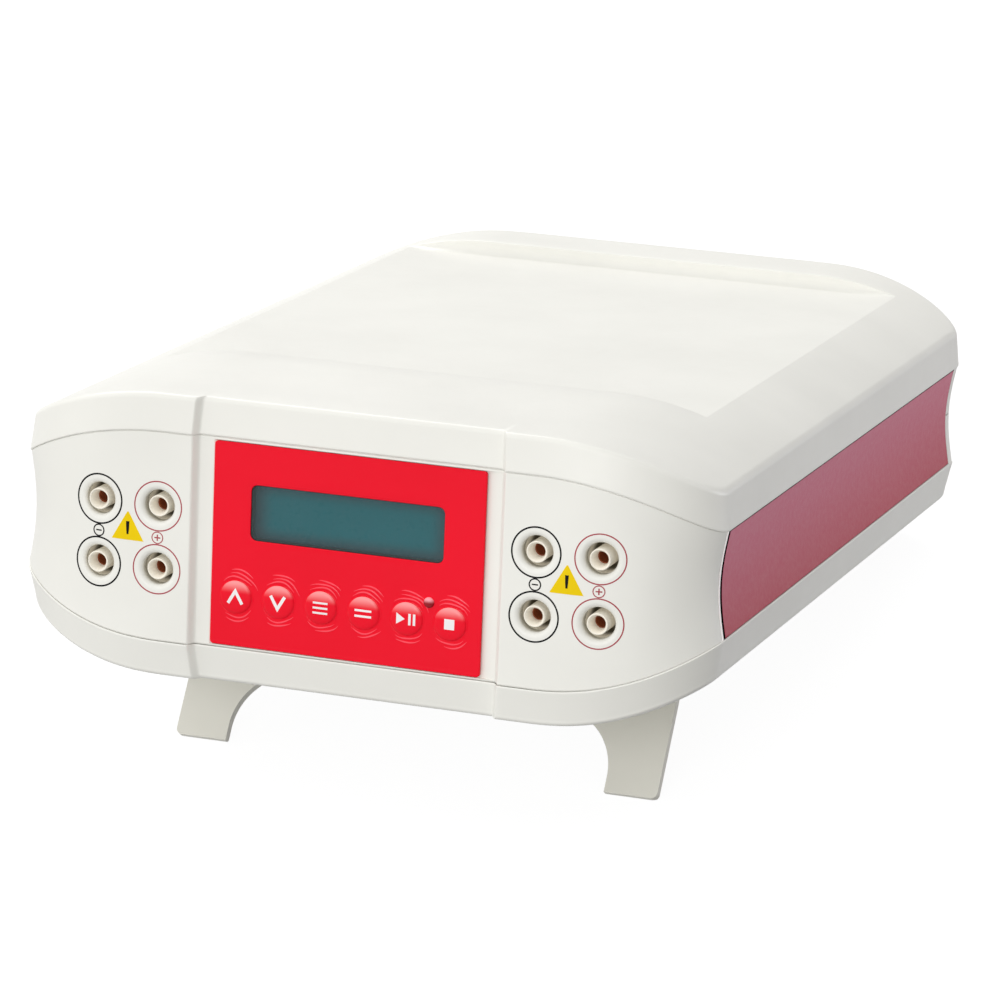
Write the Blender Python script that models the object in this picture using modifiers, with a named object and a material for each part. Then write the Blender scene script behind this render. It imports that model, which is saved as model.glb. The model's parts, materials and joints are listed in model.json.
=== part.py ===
"""Benchtop power supply for gel electrophoresis, standing on its two flip-out legs.

Everything is modelled in the frame of a level case: X to the right seen from the
front, Y towards the rear, Z up, with Y = 0 on the front face of the two side wings
and Z = 0 on the lowest part of the bottom cover.  An empty then tips the whole case
back, so that the legs and the rear feet stand on the plane Z = 0.
"""
import math

import bmesh
import bpy
from mathutils import Matrix, Vector

MM = 0.001
FIT = 0.3 * MM            # clearance between pieces that touch or slide
REACH = 10.0 * MM         # how far a cutter runs past the piece that it cuts

# Case: overall size and plan outline
CASE_WIDTH = 217.8 * MM
CASE_DEPTH = 311.0 * MM
WALL = 2.5 * MM
CENTRE_HALF = 46.4 * MM   # half width of the set-back middle of the front
CENTRE_SET_BACK = 2.5 * MM
BLEND_WIDTH = 2.3 * MM    # the step between the middle and a wing
FRONT_CORNER_X = 42.4 * MM
FRONT_CORNER_Y = 24.0 * MM
REAR_CORNER_X = 62.0 * MM
REAR_CORNER_Y = 25.5 * MM
CORNER_STEPS = 6
BLEND_STEPS = 3

# Case: barrel-shaped front elevation
TOP_HEIGHT = 85.2 * MM
UPPER_SEAM = 74.1 * MM
LOWER_SEAM = 10.9 * MM
MID_HEIGHT = TOP_HEIGHT / 2
BARREL_FLAT = 57.8 * MM   # half width over which top and bottom are flat
BARREL_RADIUS = 92.3 * MM
BARREL_STEPS = 6
TOP_DRAFT = 1.0 * MM      # how far the top edge leans in
BOTTOM_DRAFT = 2.0 * MM

# Tray on the top cover
TRAY_HALF_WIDTH = 88.0 * MM
TRAY_FRONT = 70.4 * MM
TRAY_REAR = 284.8 * MM
TRAY_FLOOR = 80.65 * MM
TRAY_CORNER = 3.0 * MM

# Panels between the seams
PANEL_STEP = 0.4 * MM     # the panels lie this far behind the covers
PANEL_THICKNESS = 3.0 * MM
SIDE_WAIST = 1.9 * MM     # how far the side panels curve in at mid height
SIDE_STEPS = 8
REAR_WRAP = 3.0 * MM      # how far the rear panel reaches along the sides
PARTING_GROOVE = 0.5 * MM

# Keypad overlay, display and keys on the middle of the front
OVERLAY_WIDTH = 84.0 * MM
OVERLAY_BOTTOM = 11.9 * MM
OVERLAY_TOP = 72.8 * MM
OVERLAY_THICKNESS = 1.0 * MM
OVERLAY_CORNER = 1.0 * MM
OVERLAY_PROUD = 0.2 * MM
WINDOW_WIDTH = 59.9 * MM
WINDOW_HEIGHT = 16.6 * MM
WINDOW_CENTRE = (-0.25 * MM, 52.5 * MM)
WINDOW_CORNER = 2.0 * MM
MODULE_SIZE = (66.0 * MM, 9.4 * MM, 24.0 * MM)
GLASS_MARGIN = 0.75 * MM  # what the display's glass is smaller than its window above and below
KEY_NAMES = ("key_up", "key_down", "key_mode", "key_constant", "key_start_pause", "key_stop")
KEY_RADIUS = 4.9 * MM
KEY_PITCH = 13.32 * MM
KEY_ROW_CENTRE = -0.8 * MM
KEY_HEIGHT = 26.7 * MM
KEY_PROUD = 0.8 * MM
KEY_TRAVEL = 0.5 * MM
KEY_CROWN = 0.32 * MM     # how far the crown of a key has dropped near its rim
KEY_COLLAR = 1.0 * MM     # how far the collar reaches out, and how thick it is
KEY_PLUNGER = 1.5 * MM
KEY_SEGMENTS = 18
LED_RADIUS = 1.6 * MM
LED_CENTRE = (25.8 * MM, 32.3 * MM)
LED_DOME = 1.12 * MM      # how far the lamp stands proud of the overlay
LED_COLLAR = 0.7 * MM
BOARD_THICKNESS = 1.6 * MM
BOARD_MARGIN = 2.5 * MM   # what the control board is smaller than the overlay all round
CONTROL_BOARD_Y = 16.0 * MM

# Output sockets: two of each polarity on each wing
SOCKET_COLUMNS = (("left_negative", -77.5 * MM), ("left_positive", -58.5 * MM),
                  ("right_negative", 58.5 * MM), ("right_positive", 77.5 * MM))
SOCKET_ROWS = (("upper", 51.6 * MM), ("lower", 32.6 * MM))
SOCKET_HOLE = 4.75 * MM
SOCKET_DISH = 6.4 * MM
SOCKET_DISH_DEPTH = 1.5 * MM
SOCKET_CUP = 7.0 * MM
SOCKET_PILLAR = 3.2 * MM
SOCKET_DEPTH = 18.0 * MM
SOCKET_SEAT = 4.6 * MM    # where the cups seat on the back of the panel
SOCKET_SUNK = 0.5 * MM    # how deep their seats are cut into its pads
SOCKET_SEGMENTS = 12
PILLAR_PROUD = 0.5 * MM   # how far the pillars stand in front of the panel
PILLAR_LIP = 0.3 * MM     # width of a pillar's front rim round its funnel
FUNNEL_DEPTH = 2.0 * MM
CONTACT_RADIUS = 2.5 * MM
CONTACT_BORE = 1.9 * MM
CONTACT_REST = 1.0 * MM   # how far the contacts stand out behind the cups
CONTACT_FLOOR = 2.0 * MM  # what is left solid behind their bore
CONTACT_TAIL = 5.0 * MM   # the solder tail

# Stance: flip-out legs and rubber feet
TILT = math.radians(8.67)
LEG_LEAN = math.radians(31.4)
LEG_AXIS_Y = 92.0 * MM
LEG_AXIS_Z = 4.5 * MM
LEG_OUTER = 78.1 * MM
LEG_INNER = 50.0 * MM
LEG_TIP_INNER = 61.4 * MM
LEG_THICKNESS = 3.0 * MM
LEG_KNUCKLE = 3.0 * MM
LEG_LENGTH = 48.9 * MM    # before the tip's rear corner is cut level with the floor
LEG_FLARE_END = -44.0 * MM
LEG_FLARE_RADIUS = 19.5 * MM
LEG_TIP_RADIUS = 2.0 * MM
LEG_STEPS = 8
LEG_PIN = 1.0 * MM
LEG_BORE = LEG_PIN + FIT
WELL_CLEARANCE = 1.5 * MM
WELL_FRONT = 86.9 * MM
WELL_REAR = 148.0 * MM
WELL_ROOF = 8.6 * MM
WELL_WALL = 1.5 * MM
FOOT_PLACES = (("foot_front", 45.0 * MM), ("foot_rear", 280.0 * MM))
FOOT_X = 50.0 * MM
FOOT_RADIUS = 6.5 * MM
FOOT_HEIGHT = 5.0 * MM
FOOT_DOME = 12.0 * MM
FOOT_STEM = 2.0 * MM
FOOT_BARB = 1.0 * MM      # how far the barb reaches out from the stem
FOOT_BARB_HEIGHT = 2.2 * MM
FOOT_RINGS = 4

# Posts and screws that hold the two covers together
POST_X = 30.0 * MM
POST_PLACES = (("front", 78.0 * MM), ("rear", 272.0 * MM))
POST_RADIUS = 4.0 * MM
SCREW_RADIUS = 1.5 * MM
SCREW_HEAD = 3.2 * MM
SCREW_LENGTH = 14.0 * MM
SCREW_GAP = 3.0 * MM      # what stays empty at the end of a pilot hole
SCREW_SEAT = 1.5 * MM     # height of the seats of the screw heads
SCREW_CHAMFER = 0.5 * MM
SCREW_HEAD_FLAT = 1.9 * MM

# Rear panel: fan, mains switch and mains inlet
FAN_X = -24.0 * MM
FAN_SIZE = 40.0 * MM
FAN_DEPTH = 10.0 * MM
FAN_BORE = 18.8 * MM
FAN_HUB = 8.5 * MM
FAN_BLADES = 7
FAN_SPIDER = 1.5 * MM     # thickness of the arms that hold the motor
FAN_ARM = 2.5 * MM        # width of the arms
FAN_GAP = 0.8 * MM        # between the hub and what lies before and behind it
BLADE_GAP = 1.0 * MM      # between the blade tips and the bore
BLADE_ROOT = 1.0 * MM     # how deep the blades are set in the hub
BLADE_CHORD = 7.0 * MM
BLADE_THICKNESS = 0.9 * MM
BLADE_PITCH = math.radians(50.0)
SLOT_COUNT = 7
SLOT_WIDTH = 2.6 * MM
SLOT_PITCH = 4.8 * MM
SWITCH_X = 6.5 * MM
SWITCH_WIDTH = 15.0 * MM
SWITCH_HEIGHT = 21.0 * MM
SWITCH_DEPTH = 14.0 * MM
SWITCH_WALL = 1.2 * MM
ROCKER_ROOM = 8.0 * MM    # depth of the well that the rocker tips in
ROCKER_PIVOT = 1.5 * MM   # depth of its axis below the flange
ROCKER_PROFILE = ((1.8 * MM, 0.0), (3.0 * MM, 7.4 * MM), (0.4 * MM, 7.6 * MM),
                  (-3.0 * MM, 5.8 * MM))       # (y, z) points of its upper half
ROCKER_THROW = math.radians(11.0)
INLET_X = 31.0 * MM
INLET_WIDTH = 28.0 * MM
INLET_HEIGHT = 46.0 * MM
INLET_DEPTH = 26.0 * MM
CAVITY_HALF = (12.2 * MM, 8.2 * MM)
CAVITY_CUT = 4.5 * MM     # the cut corners of the inlet's opening
CAVITY_DEPTH = 16.0 * MM
INLET_PINS = (("line", -7.0 * MM, -2.0 * MM), ("neutral", 7.0 * MM, -2.0 * MM),
              ("earth", 0.0, 2.0 * MM))
INLET_PIN_HALF = (1.0 * MM, 2.0 * MM)
INLET_PIN_SUNK = 3.0 * MM
FLANGE_PROUD = 1.5 * MM
FLANGE_LIP = 1.5 * MM     # how far the flanges of switch and inlet cover the panel
CAVITY_CENTRE_Z = MID_HEIGHT - 9.0 * MM
DRAWER_CENTRE_Z = MID_HEIGHT + 12.0 * MM
DRAWER_HALF = (11.0 * MM, 5.5 * MM)
DRAWER_DEPTH = 20.0 * MM
GRIP_HALF = 4.0 * MM
GRIP_LOW = -3.5 * MM
GRIP_HIGH = 0.5 * MM
GRIP_DEPTH = 2.0 * MM
FUSE_RADIUS = 2.6 * MM
FUSE_LENGTH = 19.6 * MM
FUSE_PLACE = 8.0 * MM     # from the inner end of the drawer's slot to the fuse

# Electronics on the main board
BOARD_WIDTH = 150.0 * MM
BOARD_FRONT = 95.0 * MM
BOARD_REAR = 245.0 * MM
BOARD_TOP = 13.6 * MM
CORE_LOW = (-62.0 * MM, 112.0 * MM)
CORE_HIGH = (-14.0 * MM, 160.0 * MM)
CORE_HEIGHT = 40.0 * MM
COIL_LOW = (-56.0 * MM, 104.0 * MM)
COIL_HIGH = (-20.0 * MM, 168.0 * MM)
COIL_MARGIN = 7.0 * MM    # what the coil is lower than the core below and above
CAPACITOR_RADIUS = 13.0 * MM
CAPACITOR_HEIGHT = 38.0 * MM
CAPACITOR_PLACE = (-38.0 * MM, 205.0 * MM)
FIN_COUNT = 7
FIN_PITCH = 6.5 * MM
FIN_THICKNESS = 2.2 * MM
FIN_ROOT = 4.0 * MM
HEATSINK_LEFT = 16.0 * MM
HEATSINK_HEIGHT = 42.0 * MM
HEATSINK_FRONT = 120.0 * MM
HEATSINK_REAR = 215.0 * MM

REAR_FACE = CASE_DEPTH - PANEL_STEP
REAR_BACK = REAR_FACE - PANEL_THICKNESS
MIDDLE_FACE = CENTRE_SET_BACK + PANEL_STEP
MIDDLE_BACK = MIDDLE_FACE + PANEL_THICKNESS


# ---------------------------------------------------------------- materials

def linear(channel):
    """One 0-255 display channel as linear light."""
    value = channel / 255.0
    if value <= 0.04045:
        return value / 12.92
    return ((value + 0.055) / 1.055) ** 2.4


def material(name, colour, roughness, metallic=0.0, alpha=1.0):
    """A Principled BSDF material, made once for each name."""
    known = bpy.data.materials.get(name)
    if known:
        return known
    made = bpy.data.materials.new(name)
    made.use_nodes = True
    shader = made.node_tree.nodes["Principled BSDF"]
    shader.inputs["Base Color"].default_value = [linear(c) for c in colour] + [1.0]
    shader.inputs["Roughness"].default_value = roughness
    shader.inputs["Metallic"].default_value = metallic
    shader.inputs["Alpha"].default_value = alpha
    made.diffuse_color = [linear(c) for c in colour] + [1.0]
    return made


def off_white_plastic():
    return material("off_white_plastic", (236, 236, 230), 0.45)


def maroon_plastic():
    return material("maroon_plastic", (165, 72, 94), 0.6)


def red_film():
    return material("red_film", (238, 16, 48), 0.2)


def clear_window():
    return material("clear_window", (170, 205, 205), 0.08, alpha=0.4)


def display_glass():
    return material("display_glass", (52, 104, 108), 0.3)


def led_red():
    return material("led_red", (130, 12, 20), 0.15)


def leg_plastic():
    return material("leg_plastic", (200, 200, 190), 0.5)


def black_rubber():
    return material("black_rubber", (34, 34, 35), 0.85)


def black_plastic():
    return material("black_plastic", (28, 28, 30), 0.5)


def circuit_board():
    return material("circuit_board", (26, 92, 52), 0.45)


def brass():
    return material("brass", (176, 112, 72), 0.35, metallic=1.0)


def steel():
    return material("steel", (190, 190, 192), 0.3, metallic=1.0)


def aluminium():
    return material("aluminium", (205, 206, 208), 0.4, metallic=1.0)


def lamination():
    return material("lamination", (92, 84, 76), 0.6, metallic=0.6)


def capacitor_sleeve():
    return material("capacitor_sleeve", (32, 40, 66), 0.4)


def fuse_glass():
    return material("fuse_glass", (214, 222, 220), 0.12)


# ---------------------------------------------------------------- basic solids

def add_object(name, mesh):
    """A new object for a mesh, in the collection of parts."""
    made = bpy.data.objects.new(name, mesh)
    parts.objects.link(made)
    return made


def evaluated_mesh(source):
    """The mesh of an object with its modifiers, or of a curve, as a new mesh."""
    graph = bpy.context.evaluated_depsgraph_get()
    return bpy.data.meshes.new_from_object(source.evaluated_get(graph))


def close_mesh(mesh, matrix=None):
    """Weld the open edges of a mesh, turn its faces out, and move it if asked."""
    work = bmesh.new()
    work.from_mesh(mesh)
    if matrix is not None:
        work.transform(matrix)
    bmesh.ops.remove_doubles(work, verts=work.verts, dist=0.001 * MM)
    bmesh.ops.recalc_face_normals(work, faces=work.faces)
    work.to_mesh(mesh)
    work.free()
    return mesh


def box(name, size, centre):
    """A block given by its size and its centre."""
    work = bmesh.new()
    bmesh.ops.create_cube(work, size=1.0)
    bmesh.ops.scale(work, vec=Vector(size), verts=work.verts)
    mesh = bpy.data.meshes.new(name)
    work.to_mesh(mesh)
    work.free()
    made = add_object(name, mesh)
    made.location = centre
    return made


def span_box(name, low, high):
    """A block given by its lowest and highest corners."""
    low = Vector(low)
    high = Vector(high)
    return box(name, high - low, (low + high) / 2)


AXIS_TURN = {
    "Z": Matrix.Identity(4),
    "Y": Matrix.Rotation(math.radians(90), 4, "X"),      # local Z points to the front
    "X": Matrix(((0, 0, 1, 0), (1, 0, 0, 0), (0, 1, 0, 0), (0, 0, 0, 1))),
}


def drum(name, radius, length, centre, axis="Z", segments=24, end_radius=None):
    """A cylinder, or a cone where the end that looks along the local axis differs."""
    work = bmesh.new()
    bmesh.ops.create_cone(work, cap_ends=True, segments=segments, radius1=radius,
                          radius2=radius if end_radius is None else end_radius, depth=length)
    mesh = bpy.data.meshes.new(name)
    work.to_mesh(mesh)
    work.free()
    made = add_object(name, mesh)
    made.matrix_world = Matrix.Translation(centre) @ AXIS_TURN[axis]
    return made


def turned(name, profile, place, axis="Z", segments=24, closed=False):
    """A turned piece: (radius, height) points from the top down the outer side."""
    mesh = bpy.data.meshes.new(name)
    count = len(profile)
    edges = [(i, i + 1) for i in range(count - 1)]
    if closed:
        edges.append((count - 1, 0))
    mesh.from_pydata([(radius, 0.0, height) for radius, height in profile], edges, [])
    made = add_object(name, mesh)
    screw = made.modifiers.new("turn", "SCREW")
    screw.axis = "Z"
    screw.steps = segments
    screw.render_steps = segments
    screw.use_merge_vertices = True
    screw.merge_threshold = 0.001 * MM
    made.data = close_mesh(evaluated_mesh(made))
    made.modifiers.clear()
    bpy.data.meshes.remove(mesh)
    made.matrix_world = Matrix.Translation(place) @ AXIS_TURN[axis]
    return made


def outline_solid(name, points, start, end, axis="Z"):
    """A flat outline given thickness along one axis, from start to end.

    The outline's points are (x, y) for Z, (x, z) for Y and (y, z) for X.
    """
    curve = bpy.data.curves.new(name, "CURVE")
    curve.dimensions = "2D"
    curve.fill_mode = "BOTH"
    curve.extrude = (end - start) / 2
    spline = curve.splines.new("POLY")
    spline.points.add(len(points) - 1)
    for point, (first, second) in zip(spline.points, points):
        point.co = (first, second, 0.0, 1.0)
    spline.use_cyclic_u = True
    drawn = add_object(name + "_outline", curve)
    middle = (start + end) / 2
    shift = {"X": (middle, 0, 0), "Y": (0, middle, 0), "Z": (0, 0, middle)}[axis]
    mesh = close_mesh(evaluated_mesh(drawn), Matrix.Translation(shift) @ AXIS_TURN[axis])
    bpy.data.objects.remove(drawn)
    mesh.name = name
    return add_object(name, mesh)


def combine(target, tools, operation):
    """Join, cut or intersect a piece with others, which are used up."""
    bpy.context.view_layer.update()
    for tool in tools:
        step = target.modifiers.new(tool.name, "BOOLEAN")
        step.operation = operation
        step.solver = "EXACT"
        step.object = tool
    target.data = evaluated_mesh(target)
    target.modifiers.clear()
    for tool in tools:
        bpy.data.objects.remove(tool)
    return target


def rounded_rectangle(width, height, radius, centre=(0.0, 0.0), steps=4):
    """Points round a rectangle with rounded corners, counter-clockwise."""
    points = []
    for quarter in range(4):
        sign_x = 1 if quarter in (0, 3) else -1
        sign_y = 1 if quarter in (0, 1) else -1
        corner_x = centre[0] + sign_x * (width / 2 - radius)
        corner_y = centre[1] + sign_y * (height / 2 - radius)
        for step in range(steps + 1):
            angle = math.radians(90) * (quarter + step / steps)
            points.append((corner_x + radius * math.cos(angle), corner_y + radius * math.sin(angle)))
    return points


def finish(piece, look, smooth=True):
    """Give a piece its material and its shading, and list it as a part."""
    piece.data.materials.clear()
    piece.data.materials.append(look)
    piece.data.name = piece.name
    if smooth:
        piece.data.shade_smooth()
        piece.data.set_sharp_from_angle(angle=math.radians(35))
    finished.append(piece)
    return piece


# ---------------------------------------------------------------- shape of the case

def barrel_drop(x):
    """How far the top edge has come down at this distance from the middle."""
    over = max(0.0, abs(x) - BARREL_FLAT)
    return BARREL_RADIUS - math.sqrt(BARREL_RADIUS ** 2 - over ** 2)


def top_edge(x):
    return TOP_HEIGHT - barrel_drop(x)


def upper_seam(x):
    return UPPER_SEAM - barrel_drop(x)


def lower_seam(x):
    return LOWER_SEAM + barrel_drop(x)


def bottom_edge(x):
    return barrel_drop(x)


def front_edge(inset):
    """The front outline from left to right, moved inwards by inset."""
    centre_x = CASE_WIDTH / 2 - FRONT_CORNER_X
    right = [(CENTRE_HALF, CENTRE_SET_BACK + inset)]
    for step in range(1, BLEND_STEPS + 1):
        share = step / BLEND_STEPS
        set_back = CENTRE_SET_BACK * (1 + math.cos(math.pi * share)) / 2
        right.append((CENTRE_HALF + BLEND_WIDTH * share, set_back + inset))
    for step in range(CORNER_STEPS + 1):
        angle = math.radians(90) * step / CORNER_STEPS
        right.append((centre_x + (FRONT_CORNER_X - inset) * math.sin(angle),
                      FRONT_CORNER_Y - (FRONT_CORNER_Y - inset) * math.cos(angle)))
    left = [(-x, y) for x, y in reversed(right)]
    return left + right


def rear_edge(inset):
    """The rear outline from right to left, moved inwards by inset."""
    centre_x = CASE_WIDTH / 2 - REAR_CORNER_X
    centre_y = CASE_DEPTH - REAR_CORNER_Y
    right = []
    for step in range(CORNER_STEPS + 1):
        angle = math.radians(90) * (1 - step / CORNER_STEPS)
        right.append((centre_x + (REAR_CORNER_X - inset) * math.sin(angle),
                      centre_y + (REAR_CORNER_Y - inset) * math.cos(angle)))
    left = [(-x, y) for x, y in reversed(right)]
    return right + left


def plan_prism(name, inset, low, high):
    """An upright block with the plan outline of the case."""
    return outline_solid(name, front_edge(inset) + rear_edge(inset), low, high)


def barrel_slab(name, lower, upper, front=-REACH, rear=CASE_DEPTH + REACH):
    """The space between two height functions of x, over the whole depth."""
    widest = CASE_WIDTH / 2 + REACH / 2
    half = [BARREL_FLAT + (widest - BARREL_FLAT) * step / BARREL_STEPS
            for step in range(BARREL_STEPS + 1)]
    across = [-x for x in reversed(half)] + half
    points = [(x, lower(x)) for x in across] + [(x, upper(x)) for x in reversed(across)]
    return outline_solid(name, points, front, rear, "Y")


def shell_block(name, inset, lower, upper):
    """The case outline, moved in, between two height functions."""
    prism = plan_prism(name, inset, -REACH, TOP_HEIGHT + REACH)
    return combine(prism, [barrel_slab(name + "_slab", lower, upper)], "INTERSECT")


def lean_in(piece, lower, upper, low_inset, high_inset):
    """Draft: pull the walls of a band in towards its lower or upper edge."""
    middle = CASE_DEPTH / 2
    for vertex in piece.data.vertices:
        x, y, z = vertex.co
        share = min(1.0, max(0.0, (z - lower(x)) / (upper(x) - lower(x))))
        inset = low_inset + (high_inset - low_inset) * share
        vertex.co.x = x * (1 - inset / (CASE_WIDTH / 2))
        vertex.co.y = middle + (y - middle) * (1 - inset / middle)


# ---------------------------------------------------------------- covers

def make_top_cover():
    cover = shell_block("top_cover", 0.0, upper_seam, top_edge)
    lean_in(cover, upper_seam, top_edge, 0.0, TOP_DRAFT)
    cavity = shell_block("top_cavity", WALL + TOP_DRAFT, lambda x: upper_seam(x) - REACH,
                         lambda x: top_edge(x) - WALL)
    tray_skin = span_box("tray_skin", (-TRAY_HALF_WIDTH, TRAY_FRONT - WALL, TRAY_FLOOR - WALL),
                         (TRAY_HALF_WIDTH, TRAY_REAR + WALL, TOP_HEIGHT + REACH))
    combine(cavity, [tray_skin], "DIFFERENCE")
    tray = rounded_rectangle(2 * TRAY_HALF_WIDTH, TRAY_REAR - TRAY_FRONT, TRAY_CORNER,
                             (0.0, (TRAY_FRONT + TRAY_REAR) / 2))
    recess = outline_solid("tray", tray, TRAY_FLOOR, TOP_HEIGHT + REACH)
    combine(cover, [cavity, recess], "DIFFERENCE")
    post_top = TRAY_FLOOR - WALL / 2
    post_foot = WALL + FIT
    posts = []
    pilots = []
    for place, y in POST_PLACES:
        for x in (-POST_X, POST_X):
            posts.append(drum("post", POST_RADIUS, post_top - post_foot,
                              (x, y, (post_top + post_foot) / 2)))
            pilots.append(drum("pilot", SCREW_RADIUS + FIT, SCREW_LENGTH,
                               (x, y, post_foot + SCREW_LENGTH / 2 - FIT), segments=16))
    combine(cover, posts, "UNION")
    combine(cover, pilots, "DIFFERENCE")
    finish(cover, off_white_plastic())


def leg_well(name, side, grow):
    """The space in which a folded leg lies, or with grow the walls round it."""
    inner = LEG_INNER - WELL_CLEARANCE - grow
    outer = LEG_OUTER + WELL_CLEARANCE + grow
    left, right = (inner, outer) if side > 0 else (-outer, -inner)
    return span_box(name, (left, WELL_FRONT - grow, -REACH),
                    (right, WELL_REAR + grow, WELL_ROOF + grow))


def make_bottom_cover():
    cover = shell_block("bottom_cover", 0.0, bottom_edge, lower_seam)
    lean_in(cover, bottom_edge, lower_seam, BOTTOM_DRAFT, 0.0)
    cavity = shell_block("bottom_cavity", WALL + BOTTOM_DRAFT, lambda x: bottom_edge(x) + WALL,
                         lambda x: lower_seam(x) + REACH)
    combine(cavity, [leg_well("well_walls", side, WELL_WALL) for side in (-1, 1)], "DIFFERENCE")
    cuts = [cavity]
    for side in (-1, 1):
        cuts.append(leg_well("well", side, 0.0))
        middle = side * (LEG_INNER + LEG_OUTER) / 2
        bore_length = LEG_OUTER - LEG_INNER + 2 * WELL_CLEARANCE + 1.6 * WELL_WALL
        cuts.append(drum("pin_bore", LEG_BORE, bore_length, (middle, LEG_AXIS_Y, LEG_AXIS_Z),
                         axis="X", segments=16))
        for place, y in FOOT_PLACES:
            cuts.append(drum("foot_hole", FOOT_STEM + FIT, 2 * WALL + REACH, (side * FOOT_X, y, 0.0),
                             segments=16))
        for place, y in POST_PLACES:
            cuts.append(drum("screw_hole", SCREW_RADIUS + FIT, 2 * WALL + REACH,
                             (side * POST_X, y, 0.0), segments=16))
            cuts.append(drum("screw_seat", SCREW_HEAD + FIT, REACH,
                             (side * POST_X, y, SCREW_SEAT - REACH / 2), segments=24))
    combine(cover, cuts, "DIFFERENCE")
    finish(cover, off_white_plastic())


# ---------------------------------------------------------------- panels

def wing_face(x):
    """Where the face of the front panel lies beside the middle, at this x."""
    over = max(0.0, abs(x) - (CASE_WIDTH / 2 - FRONT_CORNER_X))
    depth = FRONT_CORNER_Y - PANEL_STEP
    return FRONT_CORNER_Y - depth * math.sqrt(1 - (over / (FRONT_CORNER_X - PANEL_STEP)) ** 2)


def wing_turn(x):
    """How far the face of the front panel has turned away from the front at this x."""
    step = 0.1 * MM
    slope = (wing_face(abs(x) + step) - wing_face(abs(x) - step)) / (2 * step)
    return math.copysign(math.atan(slope), x)


def panel_slab(name, front, rear):
    return barrel_slab(name, lambda x: lower_seam(x) + FIT, lambda x: upper_seam(x) - FIT,
                       front, rear)


def key_place(index):
    return KEY_ROW_CENTRE + (index - (len(KEY_NAMES) - 1) / 2) * KEY_PITCH


def front_openings(front, rear):
    """Cutters for the display, the keys and the lamp, between two depths."""
    middle = (front + rear) / 2
    depth = rear - front
    window = rounded_rectangle(WINDOW_WIDTH, WINDOW_HEIGHT, WINDOW_CORNER, WINDOW_CENTRE)
    cuts = [outline_solid("window_cut", window, front, rear, "Y")]
    for index in range(len(KEY_NAMES)):
        cuts.append(drum("key_hole", KEY_RADIUS + FIT, depth, (key_place(index), middle, KEY_HEIGHT),
                         axis="Y", segments=KEY_SEGMENTS))
    cuts.append(drum("led_hole", LED_RADIUS + FIT, depth, (LED_CENTRE[0], middle, LED_CENTRE[1]),
                     axis="Y", segments=16))
    return cuts


def overlay_outline(margin):
    centre = (0.0, (OVERLAY_BOTTOM + OVERLAY_TOP) / 2)
    return rounded_rectangle(OVERLAY_WIDTH + 2 * margin, OVERLAY_TOP - OVERLAY_BOTTOM + 2 * margin,
                             OVERLAY_CORNER, centre)


def make_front_panel():
    strip = front_edge(PANEL_STEP) + front_edge(PANEL_STEP + PANEL_THICKNESS)[::-1]
    panel = outline_solid("front_panel", strip, 0.0, TOP_HEIGHT)
    combine(panel, [panel_slab("front_slab", -REACH, CASE_DEPTH / 2)], "INTERSECT")
    pads = []
    for side in (-1, 1):
        columns = sorted(side * x for label, x in SOCKET_COLUMNS if side * x > 0)
        low_x = columns[0] - SOCKET_CUP - WALL / 2
        high_x = columns[-1] + WALL
        left, right = (low_x, high_x) if side > 0 else (-high_x, -low_x)
        low_z = SOCKET_ROWS[1][1] - SOCKET_CUP - WALL
        high_z = SOCKET_ROWS[0][1] + SOCKET_CUP + WALL
        pads.append(span_box("socket_pad", (left, SOCKET_SEAT - 0.85 * PANEL_THICKNESS, low_z),
                             (right, SOCKET_SEAT + SOCKET_SUNK, high_z)))
    combine(panel, pads, "UNION")
    recess_floor = MIDDLE_FACE - OVERLAY_PROUD + OVERLAY_THICKNESS + FIT
    cuts = [outline_solid("overlay_recess", overlay_outline(FIT), -REACH, recess_floor, "Y")]
    cuts += front_openings(-REACH, MIDDLE_BACK + REACH)
    dish_profile = [(0.0, SOCKET_DISH_DEPTH), (2 * SOCKET_DISH - SOCKET_HOLE, SOCKET_DISH_DEPTH),
                    (SOCKET_HOLE, -SOCKET_DISH_DEPTH), (SOCKET_HOLE, -REACH), (0.0, -REACH)]
    for label, x in SOCKET_COLUMNS:
        for row, z in SOCKET_ROWS:
            cuts.append(drum("socket_bed", SOCKET_CUP + FIT, REACH,
                             (x, SOCKET_SEAT + REACH / 2, z), axis="Y", segments=SOCKET_SEGMENTS))
            dish = turned("socket_dish", dish_profile, (0.0, 0.0, 0.0), segments=SOCKET_SEGMENTS)
            dish.matrix_world = (Matrix.Translation((x, wing_face(x), z))
                                 @ Matrix.Rotation(wing_turn(x), 4, "Z") @ AXIS_TURN["Y"])
            cuts.append(dish)
    combine(panel, cuts, "DIFFERENCE")
    finish(panel, off_white_plastic())


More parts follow.
